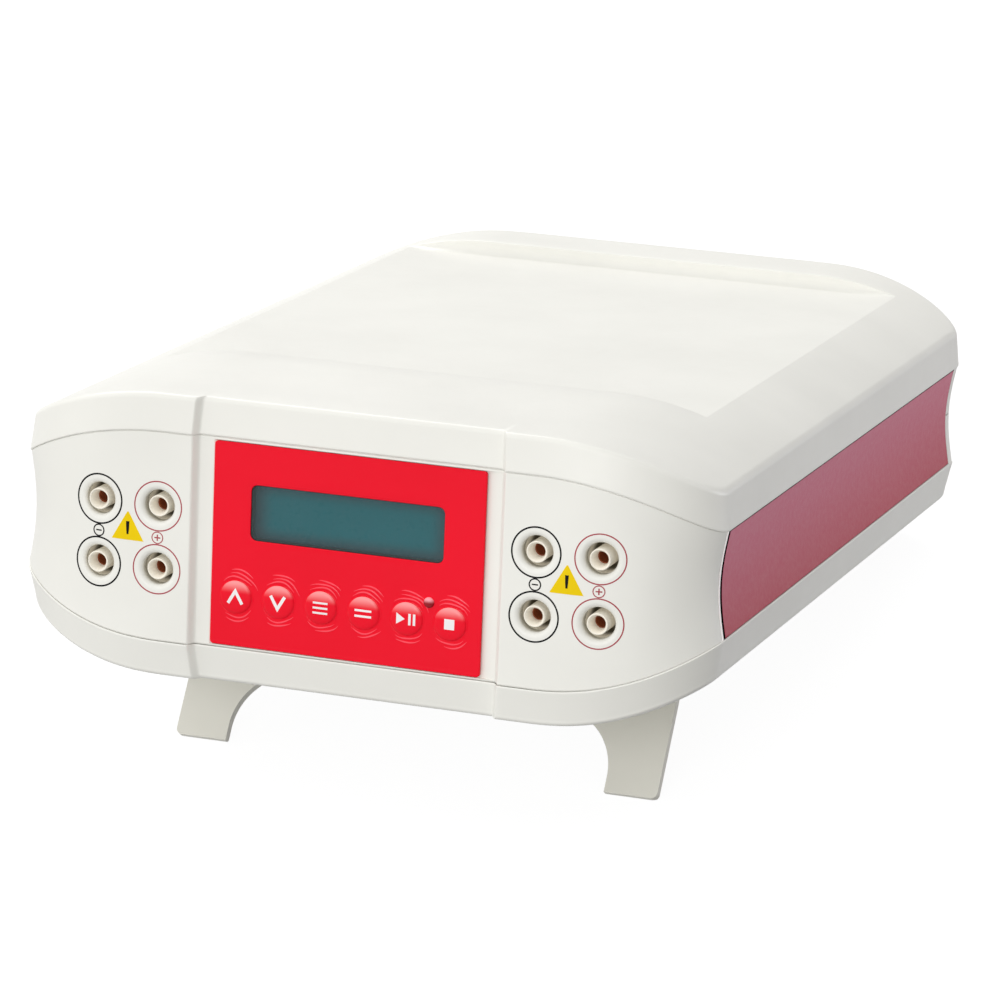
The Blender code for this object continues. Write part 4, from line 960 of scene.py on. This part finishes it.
def make_rear_panel():
    side = HALF_WIDTH - PANEL_STEP
    half = spaced(0, HALF_WIDTH - REAR_CORNER[0], 10) + corner_lines(PANEL_STEP, REAR_CORNER)
    half += spaced(side, side + REAR_WRAP, 2)
    fixed = spaced(30.0, 55.0, 8)
    mesh = panel_mesh(mirrored(half), lambda x: panel_rows(on_face(x), fixed), rear_surface,
                      [], (0, 1, 0), rear_place)
    panel = add_shell("rear_panel_shell", mesh, PANEL_WALL, "rear_panel")
    face = DEPTH - PANEL_STEP
    cutters = [add_cutter(slab_mesh(outline, face - CUT_REACH, face + CUT_REACH))
               for outline in rear_openings()]
    for end in (-1, 1):
        outline = rectangle(end * (side - REAR_WAIST - GROOVE_DEPTH), MID_HEIGHT - GROOVE_HALF,
                            end * (HALF_WIDTH + 2), MID_HEIGHT + GROOVE_HALF)
        cutters.append(add_cutter(slab_mesh(outline, DEPTH - 2 * REAR_CORNER[1],
                                            DEPTH - REAR_CORNER[1] / 2)))
    cut(panel, cutters)


def make_side_panels():
    """Waisted maroon panels between the front and rear panels; black strips paint the shadow in
    the gaps at their front ends and under the top cover, and a glowing strip paints a highlight
    on the front panel's edge beside each gap.
    """
    face = SIDE_HIGH.x
    low, high = panel_ends(face)
    front = SIDE_LOW.y - FIT
    back = SIDE_LOW.y + SIDE_GAP
    for name, side in (("left_side_panel", -1), ("right_side_panel", 1)):
        outline = [(side * (face - SIDE_WAIST * math.sin(math.pi * share)),
                    low + (high - low) * share) for share in spaced(0, 1, 24)]
        outline += [(x - side * SIDE_WALL, z) for x, z in reversed(outline)]
        round_edges(add_slab(name + "_skin", outline, back, SIDE_HIGH.y, "maroon_plastic",
                             stands_for=name), 0.25)
        # painted shadow: a black strip fills the gap at the panel's front end
        strip = [(x - side * STEP, z) for x, z in outline]
        add_slab(name + "_gap_shadow", strip, front + 0.05, back, "seal_black")
        # painted highlight: a glowing strip on the front panel's edge beside the gap
        lip = [(x + side * STEP, z) for x, z in outline]
        add_slab(name + "_lip", lip, front - EDGE_HIGHLIGHT_WIDTH, front, "bright_lip")
        # painted shadow: a black strip under the top cover's seam
        strip = rectangle(side * (face - SIDE_WALL), high - SHADOW_LAP,
                          side * (face + 0.03), high + FIT - STEP)
        add_slab(name + "_top_gap_shadow", strip, SIDE_LOW.y, SIDE_HIGH.y, "seal_black")


# ---- printing

def ribbon(path, widths, closed=False, across=1):
    """Rows of points across a flat band that follows a path of (x, z) points."""
    count = len(path)
    rows = []
    for index, (x, z) in enumerate(path):
        after = path[(index + 1) % count] if closed or index + 1 < count else None
        before = path[index - 1] if closed or index else None
        sides = []
        for start, end in ((before, (x, z)), ((x, z), after)):
            if start is not None and end is not None:
                run = (Vector(end) - Vector(start)).normalized()
                sides.append(Vector((-run.y, run.x)))
        normal = sum(sides, Vector((0.0, 0.0)))
        normal = normal / (1 + sides[0].dot(sides[-1])) if len(sides) == 2 else normal
        width = widths[index] if isinstance(widths, list) else widths
        rows.append([(x + normal.x * width * share, z + normal.y * width * share)
                     for share in spaced(-0.5, 0.5, across)])
    return rows, closed


def finer(points, widths, parts=6):
    """A path and its widths with every stretch cut in parts, keeping the corners sharp."""
    wide = widths if isinstance(widths, list) else [widths] * len(points)
    rows = [(*point, width) for point, width in zip(points, wide)]
    fine = [rows[0]]
    for start, end in zip(rows, rows[1:]):
        fine += [[first + (last - first) * share for first, last in zip(start, end)]
                 for share in spaced(0, 1, parts)[1:]]
    return [row[:2] for row in fine], [row[2] for row in fine]


def printed_mesh(ribbons, surface, crown=0.0):
    """Thin raised printing that follows a surface; crown is its extra rise over its width."""
    points = []
    faces = []
    for rows, closed in ribbons:
        first = len(points)
        count = 2 * len(rows[0])
        for row in rows:
            rise = crown * (Vector(row[-1]) - Vector(row[0])).length
            for (x, z), across in zip(row, spaced(-1, 1, len(row) - 1)):
                points.append((x, surface(x, z) - PRINT_PROUD - rise * (1 - across ** 2), z))
            points += [(x, surface(x, z) + PRINT_SUNK, z) for x, z in reversed(row)]
        faces += grid_faces(len(rows), count, first, wrap_rows=closed, wrap_columns=True)
        if not closed:
            last = first + (len(rows) - 1) * count
            faces += [tuple(range(first, first + count)), tuple(range(last, last + count))]
    return make_mesh(points, faces)


def circle(x, z, radius, width):
    path = [round_point(x, z, radius, angle)
            for angle in spaced(0, 2 * math.pi, ROUND_STEPS)[:-1]]
    return ribbon(path, width, closed=True)


def bar(x, z, half_x, half_z):
    return ribbon([(x - half_x, z - half_z), (x, z), (x + half_x, z + half_z)], SIGN_WIDTH)


def wing_surface(x, z):
    return front_curve(x, PANEL_STEP)


def make_socket_marks(polarity, look):
    """Rings round the sockets of one polarity, and its sign in a circle between them."""
    width = MARK_WIDTHS[polarity]
    ribbons = []
    for name, place in SOCKETS.items():
        if polarity in name:
            ribbons.append(circle(place.x, place.z, MARK_RADIUS, width))
        if polarity in name and "upper" in name:
            ribbons.append(circle(place.x, SOCKET_MIDDLE, SIGN_RADIUS, 0.8 * width))
            ribbons.append(bar(place.x, SOCKET_MIDDLE, SIGN_HALF, 0.0))
            if polarity == "positive":
                ribbons += [bar(place.x, SOCKET_MIDDLE + shift, 0.0, 0.375)
                            for shift in (-0.575, 0.575)]
    add_piece(polarity + "_marks", printed_mesh(ribbons, wing_surface), look)


def make_triangles():
    """A plain triangle with a bar in it between the sockets of each wing."""
    centre = sum(SOCKET_COLUMNS) / len(SOCKET_COLUMNS)
    base = SOCKET_MIDDLE - TRIANGLE_DROP
    rise = spaced(0, 1, 10)
    widths = [TRIANGLE_WIDTH * (1 - share) + TRIANGLE_TIP for share in rise]
    triangles = []
    bars = []
    for x in (-centre, centre):
        triangles.append(ribbon([(x, base + TRIANGLE_HEIGHT * share) for share in rise],
                                widths, across=8))
        bars.append(ribbon([(x, base + up) for up in (1.7, 3.3, 5.6)], [0.6, 0.9, 1.1]))
    add_piece("caution_triangles", printed_mesh(triangles, wing_surface), "yellow_ink")
    add_piece("triangle_bars",
              printed_mesh(bars, lambda x, z: wing_surface(x, z) - PRINT_PROUD), "bar_ink")


# ---- control group

def film_surface(x, z):
    return FILM_LOW.y


def make_creases():
    """Fine ridges in the film, most of them above the keys, coloured a paler red that paints
    their highlight.
    """
    ribbons = []
    for number, place in enumerate(KEYS.values()):
        for order, (radius, start, end) in enumerate(CREASES):
            swing = CREASE_SWING * math.sin(3 * number + 2 * order)
            path = []
            widths = []
            for share in spaced(0, 1, 24):
                angle = math.radians(start + swing + (end - start) * share)
                away = radius + CREASE_WAVE * math.sin(5 * angle + number + order)
                path.append(round_point(place.x, place.z, away, angle))
                widths.append(0.08 + CREASE_WIDTH * math.sin(math.pi * share))
            ribbons.append(ribbon(path, widths, across=6))
    add_piece("film_creases", printed_mesh(ribbons, film_surface, CREASE_RISE), "crease_painted_highlight")


def film_window():
    """The rounded opening in the film over the display."""
    cell = Vector((PANE_CELL, 0.0, PANE_CELL))
    core = Vector((PANE_CORNER - FIT, 0.0, PANE_CORNER - FIT))
    corners = [(corner.x, corner.z) for corner in (
        WINDOW_LOW - cell, WINDOW_HIGH + cell, WINDOW_LOW + core, WINDOW_HIGH - core)]
    return Hole(corners[0], corners[1], corners[2:], [(PANE_CELL, 0.0), (PANE_CORNER, 0.08)])


def film_place(x, y, z):
    """Round the corners of the film."""
    near_end = 1 - min(1.0, z - FILM_LOW.z, FILM_HIGH.z - z)
    return (x * (1 - (1 - arc(near_end)) / FILM_HIGH.x), y, z)


def make_film():
    first = min(place.x for place in KEYS.values())
    pitch = (max(place.x for place in KEYS.values()) - first) / 5
    half = pitch / 2
    start = first - half
    window = film_window()
    xs = [start + pitch * index / KEY_CELLS for index in range(6 * KEY_CELLS + 1)]
    xs += spaced(FILM_LOW.x, start, 6) + spaced(xs[-1], FILM_HIGH.x, 8)
    xs = merged(xs + [window.low[0], window.high[0]], 0.02)
    fine = [KEY_MIDDLE - half - 0.4 * step for step in range(8, 0, -1)]
    fine += spaced(KEY_MIDDLE - half, KEY_MIDDLE + half, KEY_CELLS)
    fine += [KEY_MIDDLE + half + 0.4 * step for step in range(1, 12)]
    corner = [1 - math.cos(turn) for turn in turns(step=15)]
    zs = [FILM_LOW.z + share for share in corner] + [FILM_HIGH.z - share for share in corner]
    zs += fine + spaced(window.low[1], window.high[1], 24)
    zs += spaced(FILM_LOW.z + 1, fine[0], 4) + spaced(window.high[1], FILM_HIGH.z - 1, 4)
    zs = merged(zs, 0.02)
    rings = [(radius, 0.0) for radius in (6.2, 5.9, 5.6, 5.3)]
    openings = [round_hole(place, half, rings) for place in KEYS.values()] + [window]
    mesh = panel_mesh(xs, lambda x: zs, film_surface, openings, (0, -1, 0), film_place)
    add_shell("keypad_film", mesh, FILM_WALL, "keypad_overlay", "red_film")


def key_drop(radius):
    """How far the face of a key has dropped at a radius."""
    flat = KEY_RADIUS - KEY_ROUND
    if radius <= flat:
        return KEY_CROWN * (radius / flat) ** 2
    return KEY_CROWN + (KEY_RIM_DROP - KEY_CROWN) * (1 - arc((radius - flat) / KEY_ROUND))


def key_icons(x, z):
    """Plain signs for the keys: arrows, list, level, play and pause, stop."""
    def stroke(points, widths):
        path, wide = finer(points, widths)
        return ribbon([(x + over_x, z + over_z) for over_x, over_z in path], wide, across=4)

    def level(height, reach, width):
        return stroke([(-reach, height), (0.0, height), (reach, height)], width)

    def upright(over):
        return stroke([(over, -1.7), (over, 0.0), (over, 1.7)], 0.75)

    return {
        "key_up": [stroke([(-2.2, -1.9), (0.0, 1.9), (2.2, -1.9)], 0.95)],
        "key_down": [stroke([(-2.2, 1.9), (0.0, -1.9), (2.2, 1.9)], 0.95)],
        "key_mode": [level(height, 2.3, 0.6) for height in (-1.5, 0.0, 1.5)],
        "key_constant": [level(height, 2.6, 0.65) for height in (-0.85, 0.85)],
        "key_start_pause": [stroke([(-3.0, 0.0), (-1.7, 0.0), (-0.4, 0.0)], [3.4, 1.75, 0.1]),
                            upright(1.1), upright(2.5)],
        "key_stop": [level(0.0, 1.55, 3.1)],
    }


def skirt_profile(film):
    """The film drawn up round a key, as (radius, height) points."""
    loop = [(KEY_RADIUS + SKIRT_WIDTH * (1 - math.cos(turn)),
             SKIRT_RISE - film - (SKIRT_RISE + 0.02) * math.sin(turn))
            for turn in turns(step=18)]
    return loop + [(loop[-1][0], -film - FIT), (loop[0][0], -film - FIT)]


def make_keys():
    key_low, key_high = case_box("key_up")
    front = key_low.y
    film = FILM_LOW.y
    steps = spaced(0, KEY_RADIUS - KEY_ROUND, 4)
    steps += [KEY_RADIUS - KEY_ROUND * (1 - math.sin(turn)) for turn in turns(start=10)]
    profile = [(radius, -key_drop(radius)) for radius in steps]
    shank = front - KEY_SHANK
    profile += [(KEY_RADIUS, shank), (KEY_RADIUS + FLANGE, shank),
                (KEY_RADIUS + FLANGE, shank - FLANGE), (PLUNGER_RADIUS, shank - FLANGE),
                (PLUNGER_RADIUS, front - key_high.y), (0.0, front - key_high.y)]
    for name, place in KEYS.items():
        # painted highlight: the cap's finish turns pale pink towards its top
        add_turned(name + "_cap", profile, "key_film_painted_highlight", facing_front(place, front), body=name,
                   stands_for=name)
        icon = printed_mesh(key_icons(place.x, place.z)[name],
                            lambda x, z: front + key_drop(math.hypot(x - place.x, z - place.z)))
        add_piece(name + "_icon", icon, "white_ink", body=name)
        piece = add_turned(name + "_skirt", skirt_profile(film), "red_film",
                           facing_front(place), closed=True, body=None)
        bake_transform(piece)


def make_status_led():
    low, high = case_box("status_led")
    dome = FILM_LOW.y - low.y
    profile = [(LAMP_RADIUS * math.sin(turn), -dome * (1 - math.cos(turn))) for turn in turns()]
    profile += [(LAMP_RADIUS, low.y - high.y), (0.0, low.y - high.y)]
    # painted highlight: the lamp's finish turns pink towards its top
    add_turned("status_lamp", profile, "led_red", facing_front((low + high) / 2, low.y),
               stands_for="status_led")


def rounded_box(name, low, high, look, rounding, stands_for=None):
    round_edges(add_slab(name, rectangle(low.x, low.z, high.x, high.z), low.y, high.y, look,
                         stands_for=stands_for), rounding)


def window_outline(grow):
    """(x, z) outline of the display window, grown, with round corners."""
    half = (WINDOW_HIGH - WINDOW_LOW) / 2
    inset = PANE_CORNER - FIT
    return [round_point(WINDOW_CENTRE.x + side_x * (half.x - inset),
                        WINDOW_CENTRE.z + side_z * (half.z - inset), PANE_CORNER + grow, turn)
            for side_x, side_z, start in ((1, 1, 0), (-1, 1, 90), (-1, -1, 180), (1, -1, 270))
            for turn in turns(start, start + 90, 15)]


def make_display():
    """The module behind the window, its glass, the dark frame round it and the clear pane."""
    make_display_glass()
    low, high = case_box("lcd_module")
    margin = Vector((1.5, 0.0, 1.5))
    panel_low, panel_high = WINDOW_LOW - margin, WINDOW_HIGH + margin
    low.y, panel_low.y, panel_high.y = GLASS_Y + 0.4, GLASS_Y, GLASS_Y + 1.0
    rounded_box("display_module", low, high, "black_plastic", 0.5)
    rounded_box("display_panel", panel_low, panel_high, "display_glass", 0.1, "lcd_module")
    near, far = FILM_HIGH.y + 0.05, GLASS_Y - 0.05
    rings = [[(x, y, z) for x, z in window_outline(grow)]
             for grow, y in ((0.6, near), (0.0, near), (0.0, far), (0.6, far))]
    mesh = make_mesh(sum(rings, []), grid_faces(4, len(rings[0]), wrap_rows=True,
                                                wrap_columns=True))
    add_piece("display_frame", mesh, "black_plastic")
    pane = [(WINDOW_CENTRE.x + (x - WINDOW_CENTRE.x) * PANE_FIT[0],
             WINDOW_CENTRE.z + (z - WINDOW_CENTRE.z) * PANE_FIT[1])
            for x, z in window_outline(0.0)]
    add_slab("display_pane", pane, FILM_LOW.y + 0.15, FILM_LOW.y + 0.65, "clear_window",
             stands_for="lcd_window")


# ---- sockets and stance

def make_sockets():
    """Cups with a hollow pillar, and the contacts inside the pillars."""
    def behind(*profile):
        """Turned points from (radius, depth behind the front of the pillar)."""
        return [(radius, -CUP_FRONT - depth) for radius, depth in profile]

    floor = GAP_FLOOR - CUP_FRONT
    back = CUP_BACK - CUP_FRONT
    seat = CUP_SEAT + FIT - CUP_FRONT
    cup = behind((2.98, 0.0), (3.1, 0.06), (3.17, 0.18), (PILLAR_RADIUS, PILLAR_ROUND),
                 (PILLAR_RADIUS, floor), (HOLE_RADIUS, floor), (HOLE_RADIUS, seat),
                 (7.0, seat), (7.0, back), (2.8, back), (2.8, BORE_DEPTH), (2.1, BORE_DEPTH),
                 (2.2, 1.2), (2.6, 0.4), (2.82, 0.06), (2.9, 0.0))
    mouth = BORE_DEPTH + 0.2
    pin = behind((0.0, back - 1.0), (1.9, back - 1.0), (1.9, mouth), (2.5, mouth),
                 (2.5, back + 1.0), (1.25, back + 1.0), (1.25, back + 6.0), (0.0, back + 6.0))
    for name, place in SOCKETS.items():
        # painted shade deeper inside the cups, and painted glow on cups and contacts
        add_turned("cup_" + name, cup, "cup_cream", facing_front(place), closed=True,
                   steps=48, stands_for="socket_" + name)
        add_turned("pin_" + name, pin, "brass_painted_glow", facing_front(place), steps=32,
                   stands_for="contact_" + name)


def leg_outline(side):
    """(x, z) points of a leg hanging from its axis: flared at the top, square at the tip."""
    points = [(LEG_OUTER, 0.0), (LEG_INNER, 0.0)]
    widest = math.acos(1 - (TIP_INNER - LEG_INNER) / FLARE_RADIUS)
    points += [(TIP_INNER - FLARE_RADIUS * (1 - math.cos(turn)),
                FLARE_END + FLARE_RADIUS * math.sin(turn)) for turn in spaced(widest, 0, 24)]
    points.append((TIP_INNER, -LEG_LENGTH))
    points += [(LEG_OUTER - LEG_CORNER * (1 - math.sin(turn)),
                -LEG_LENGTH + LEG_CORNER * (1 - math.cos(turn)))
               for turn in spaced(0, math.radians(90), 8)]
    return [(side * x, z) for x, z in points]


def make_legs():
    to_hinge = at(0.0, LEG_AXIS.y, LEG_AXIS.z) @ rotation(-LEG_LEAN, "X")
    end = KNUCKLE_HALF - 0.4
    knuckle = [(0, KNUCKLE_HALF), (2.6, KNUCKLE_HALF), (KNUCKLE_RADIUS, end),
               (KNUCKLE_RADIUS, -end), (2.6, -KNUCKLE_HALF), (0, -KNUCKLE_HALF)]
    for label, side in (("left", -1), ("right", 1)):
        name = "tilt_leg_" + label
        leg = add_slab(name + "_plate", leg_outline(side), -LEG_HALF, LEG_HALF, "leg_plastic",
                       body=None, place=to_hinge)
        below_floor = slab_mesh(rectangle(-200, -100, 200, 0), -300, 300)
        cut(leg, [add_cutter(below_floor, CASE.inverted())])
        round_edges(leg, 0.4)
        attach(leg, name)
        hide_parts(name)
        add_turned(name + "_knuckle", knuckle, "leg_plastic",
                   at(side * KNUCKLE_X, LEG_AXIS.y, LEG_AXIS.z) @ rotation(90, "Y"), steps=40,
                   body=name)


def make_feet():
    profile = [(0.0, 4.7), (2.0, 4.7), (2.0, -0.3), (6.2, -0.3), (FOOT_RADIUS, -0.6)]
    profile += [(FOOT_SPHERE * math.sin(turn), 7.0 - FOOT_SPHERE * math.cos(turn))
                for turn in spaced(math.asin(FOOT_RADIUS / FOOT_SPHERE), 0, 10)]
    for node, place in centres("foot_").items():
        add_turned(node + "_pad", profile, "black_rubber", at(place.x, place.y, 0.0), steps=48,
                   stands_for=node)


# ---- carried-over CAD nodes

def dress_cad_nodes():
    """Better finishes, and eased edges, for the CAD nodes that stay."""
    for node in frame["nodes"].values():
        if node.hide_render:
            continue
        look = finish(node.material_slots[0].material.name.split(".")[0])
        for entry in node.material_slots:
            entry.material = look
        weld = node.modifiers.new("weld", "WELD")
        weld.merge_threshold = 0.01 * MM
        round_edges(node, 0.25, 2)


# ---- stage, light and camera

FLOOR_GLOW = 0.93
FLOOR_DROP = 0.0002               # metres between the floor and the lowest points
BRIGHT_SIDE = (-0.50, -0.40, 0.768)
DIM_SHARE = -0.67                 # how far from the bright side the glow is at its dimmest
DIM_GLOW = 0.03
BRIGHT_GLOW = 1.165
# Name, place, aim, size, power and colour of the soft boxes
LAMPS = (("key", (0.1, -2.1, 0.75), (0, 0, 0), 0.9, 12.0, (1.0, 1.0, 1.0)),
         ("top", (-1.1, 1.5, 1.5), (0, 0, 0), 1.2, 19.5, (1.0, 1.0, 1.0)),
         ("rim", (1.9, 1.5, 0.1), (0, 0, 0.05), 1.2, 23.0, (0.94, 0.93, 1.0)))
CAMERA_PLACE = (501.6, -1332.1, 396.1)      # in the case frame
CAMERA_AZIMUTH = 18.84
CAMERA_FALL = 13.21
CAMERA_ROLL = 2.32
CAMERA_LENS = 182.56


def make_stage():
    """A plain pale floor; from below it lets the view through."""
    work = bmesh.new()
    bmesh.ops.create_grid(work, x_segments=8, y_segments=8, size=6.0)
    mesh = bpy.data.meshes.new("floor")
    work.to_mesh(mesh)
    work.free()
    floor = add_object("floor", mesh)
    floor.location.z = -FLOOR_DROP
    floor.visible_diffuse = False
    made, tree, shader = new_finish("floor")
    feed(tree, shader, {
        "Base Color": (0.14, 0.14, 0.14, 1.0), "Roughness": 0.9, "Specular IOR Level": 0.0,
        "Emission Color": (1.0, 1.0, 1.0, 1.0), "Emission Strength": FLOOR_GLOW})
    surface = add_node(tree, "MixShader", "Shader", {
        "Fac": add_node(tree, "NewGeometry", "Backfacing"), 1: shader.outputs["BSDF"],
        2: add_node(tree, "BsdfTransparent", "BSDF")})
    feed(tree, tree.nodes["Material Output"], {"Surface": surface})
    mesh.materials.append(made)


def add_area_light(name, place, aim, size, power, colour):
    data = bpy.data.lights.new(name, "AREA")
    data.shape = "DISK"
    data.size = size
    data.energy = power
    data.color = colour
    light = add_object(name, data)
    light.location = place
    light.rotation_mode = "QUATERNION"
    light.rotation_quaternion = (Vector(aim) - Vector(place)).to_track_quat("-Z", "Y")


def make_light():
    """A soft glow that is brightest from the upper front left, and three soft boxes."""
    world = bpy.data.worlds.new("studio")
    world.use_nodes = True
    tree = world.node_tree
    glow = stretch(tree, towards(tree, "Generated", BRIGHT_SIDE), DIM_SHARE, 1.0,
                   DIM_GLOW, BRIGHT_GLOW)
    feed(tree, tree.nodes["Background"], {"Color": (1.0, 1.0, 1.0, 1.0), "Strength": glow})
    bpy.context.scene.world = world
    for lamp in LAMPS:
        add_area_light(*lamp)
    bpy.context.scene.view_settings.view_transform = "Standard"
    bpy.context.scene.view_settings.look = "None"


def make_camera():
    data = bpy.data.cameras.new("camera")
    data.lens = CAMERA_LENS
    data.sensor_width = 36.0
    data.clip_end = 50.0
    camera = add_object("camera", data)
    camera.matrix_world = (CASE @ at(*CAMERA_PLACE) @ rotation(CAMERA_AZIMUTH, "Z")
                           @ rotation(90 - CAMERA_FALL, "X") @ rotation(CAMERA_ROLL, "Z"))
    bpy.context.scene.camera = camera


make_camera()
make_top_cover()
make_bottom_cover()
make_front_panel()
make_rear_panel()
make_side_panels()
make_socket_marks("negative", "black_ink")
make_socket_marks("positive", "red_ink")
make_triangles()
make_film()
make_creases()
make_keys()
make_status_led()
make_display()
make_sockets()
make_legs()
make_feet()
dress_cad_nodes()
make_stage()
make_light()

bpy.context.view_layer.update()
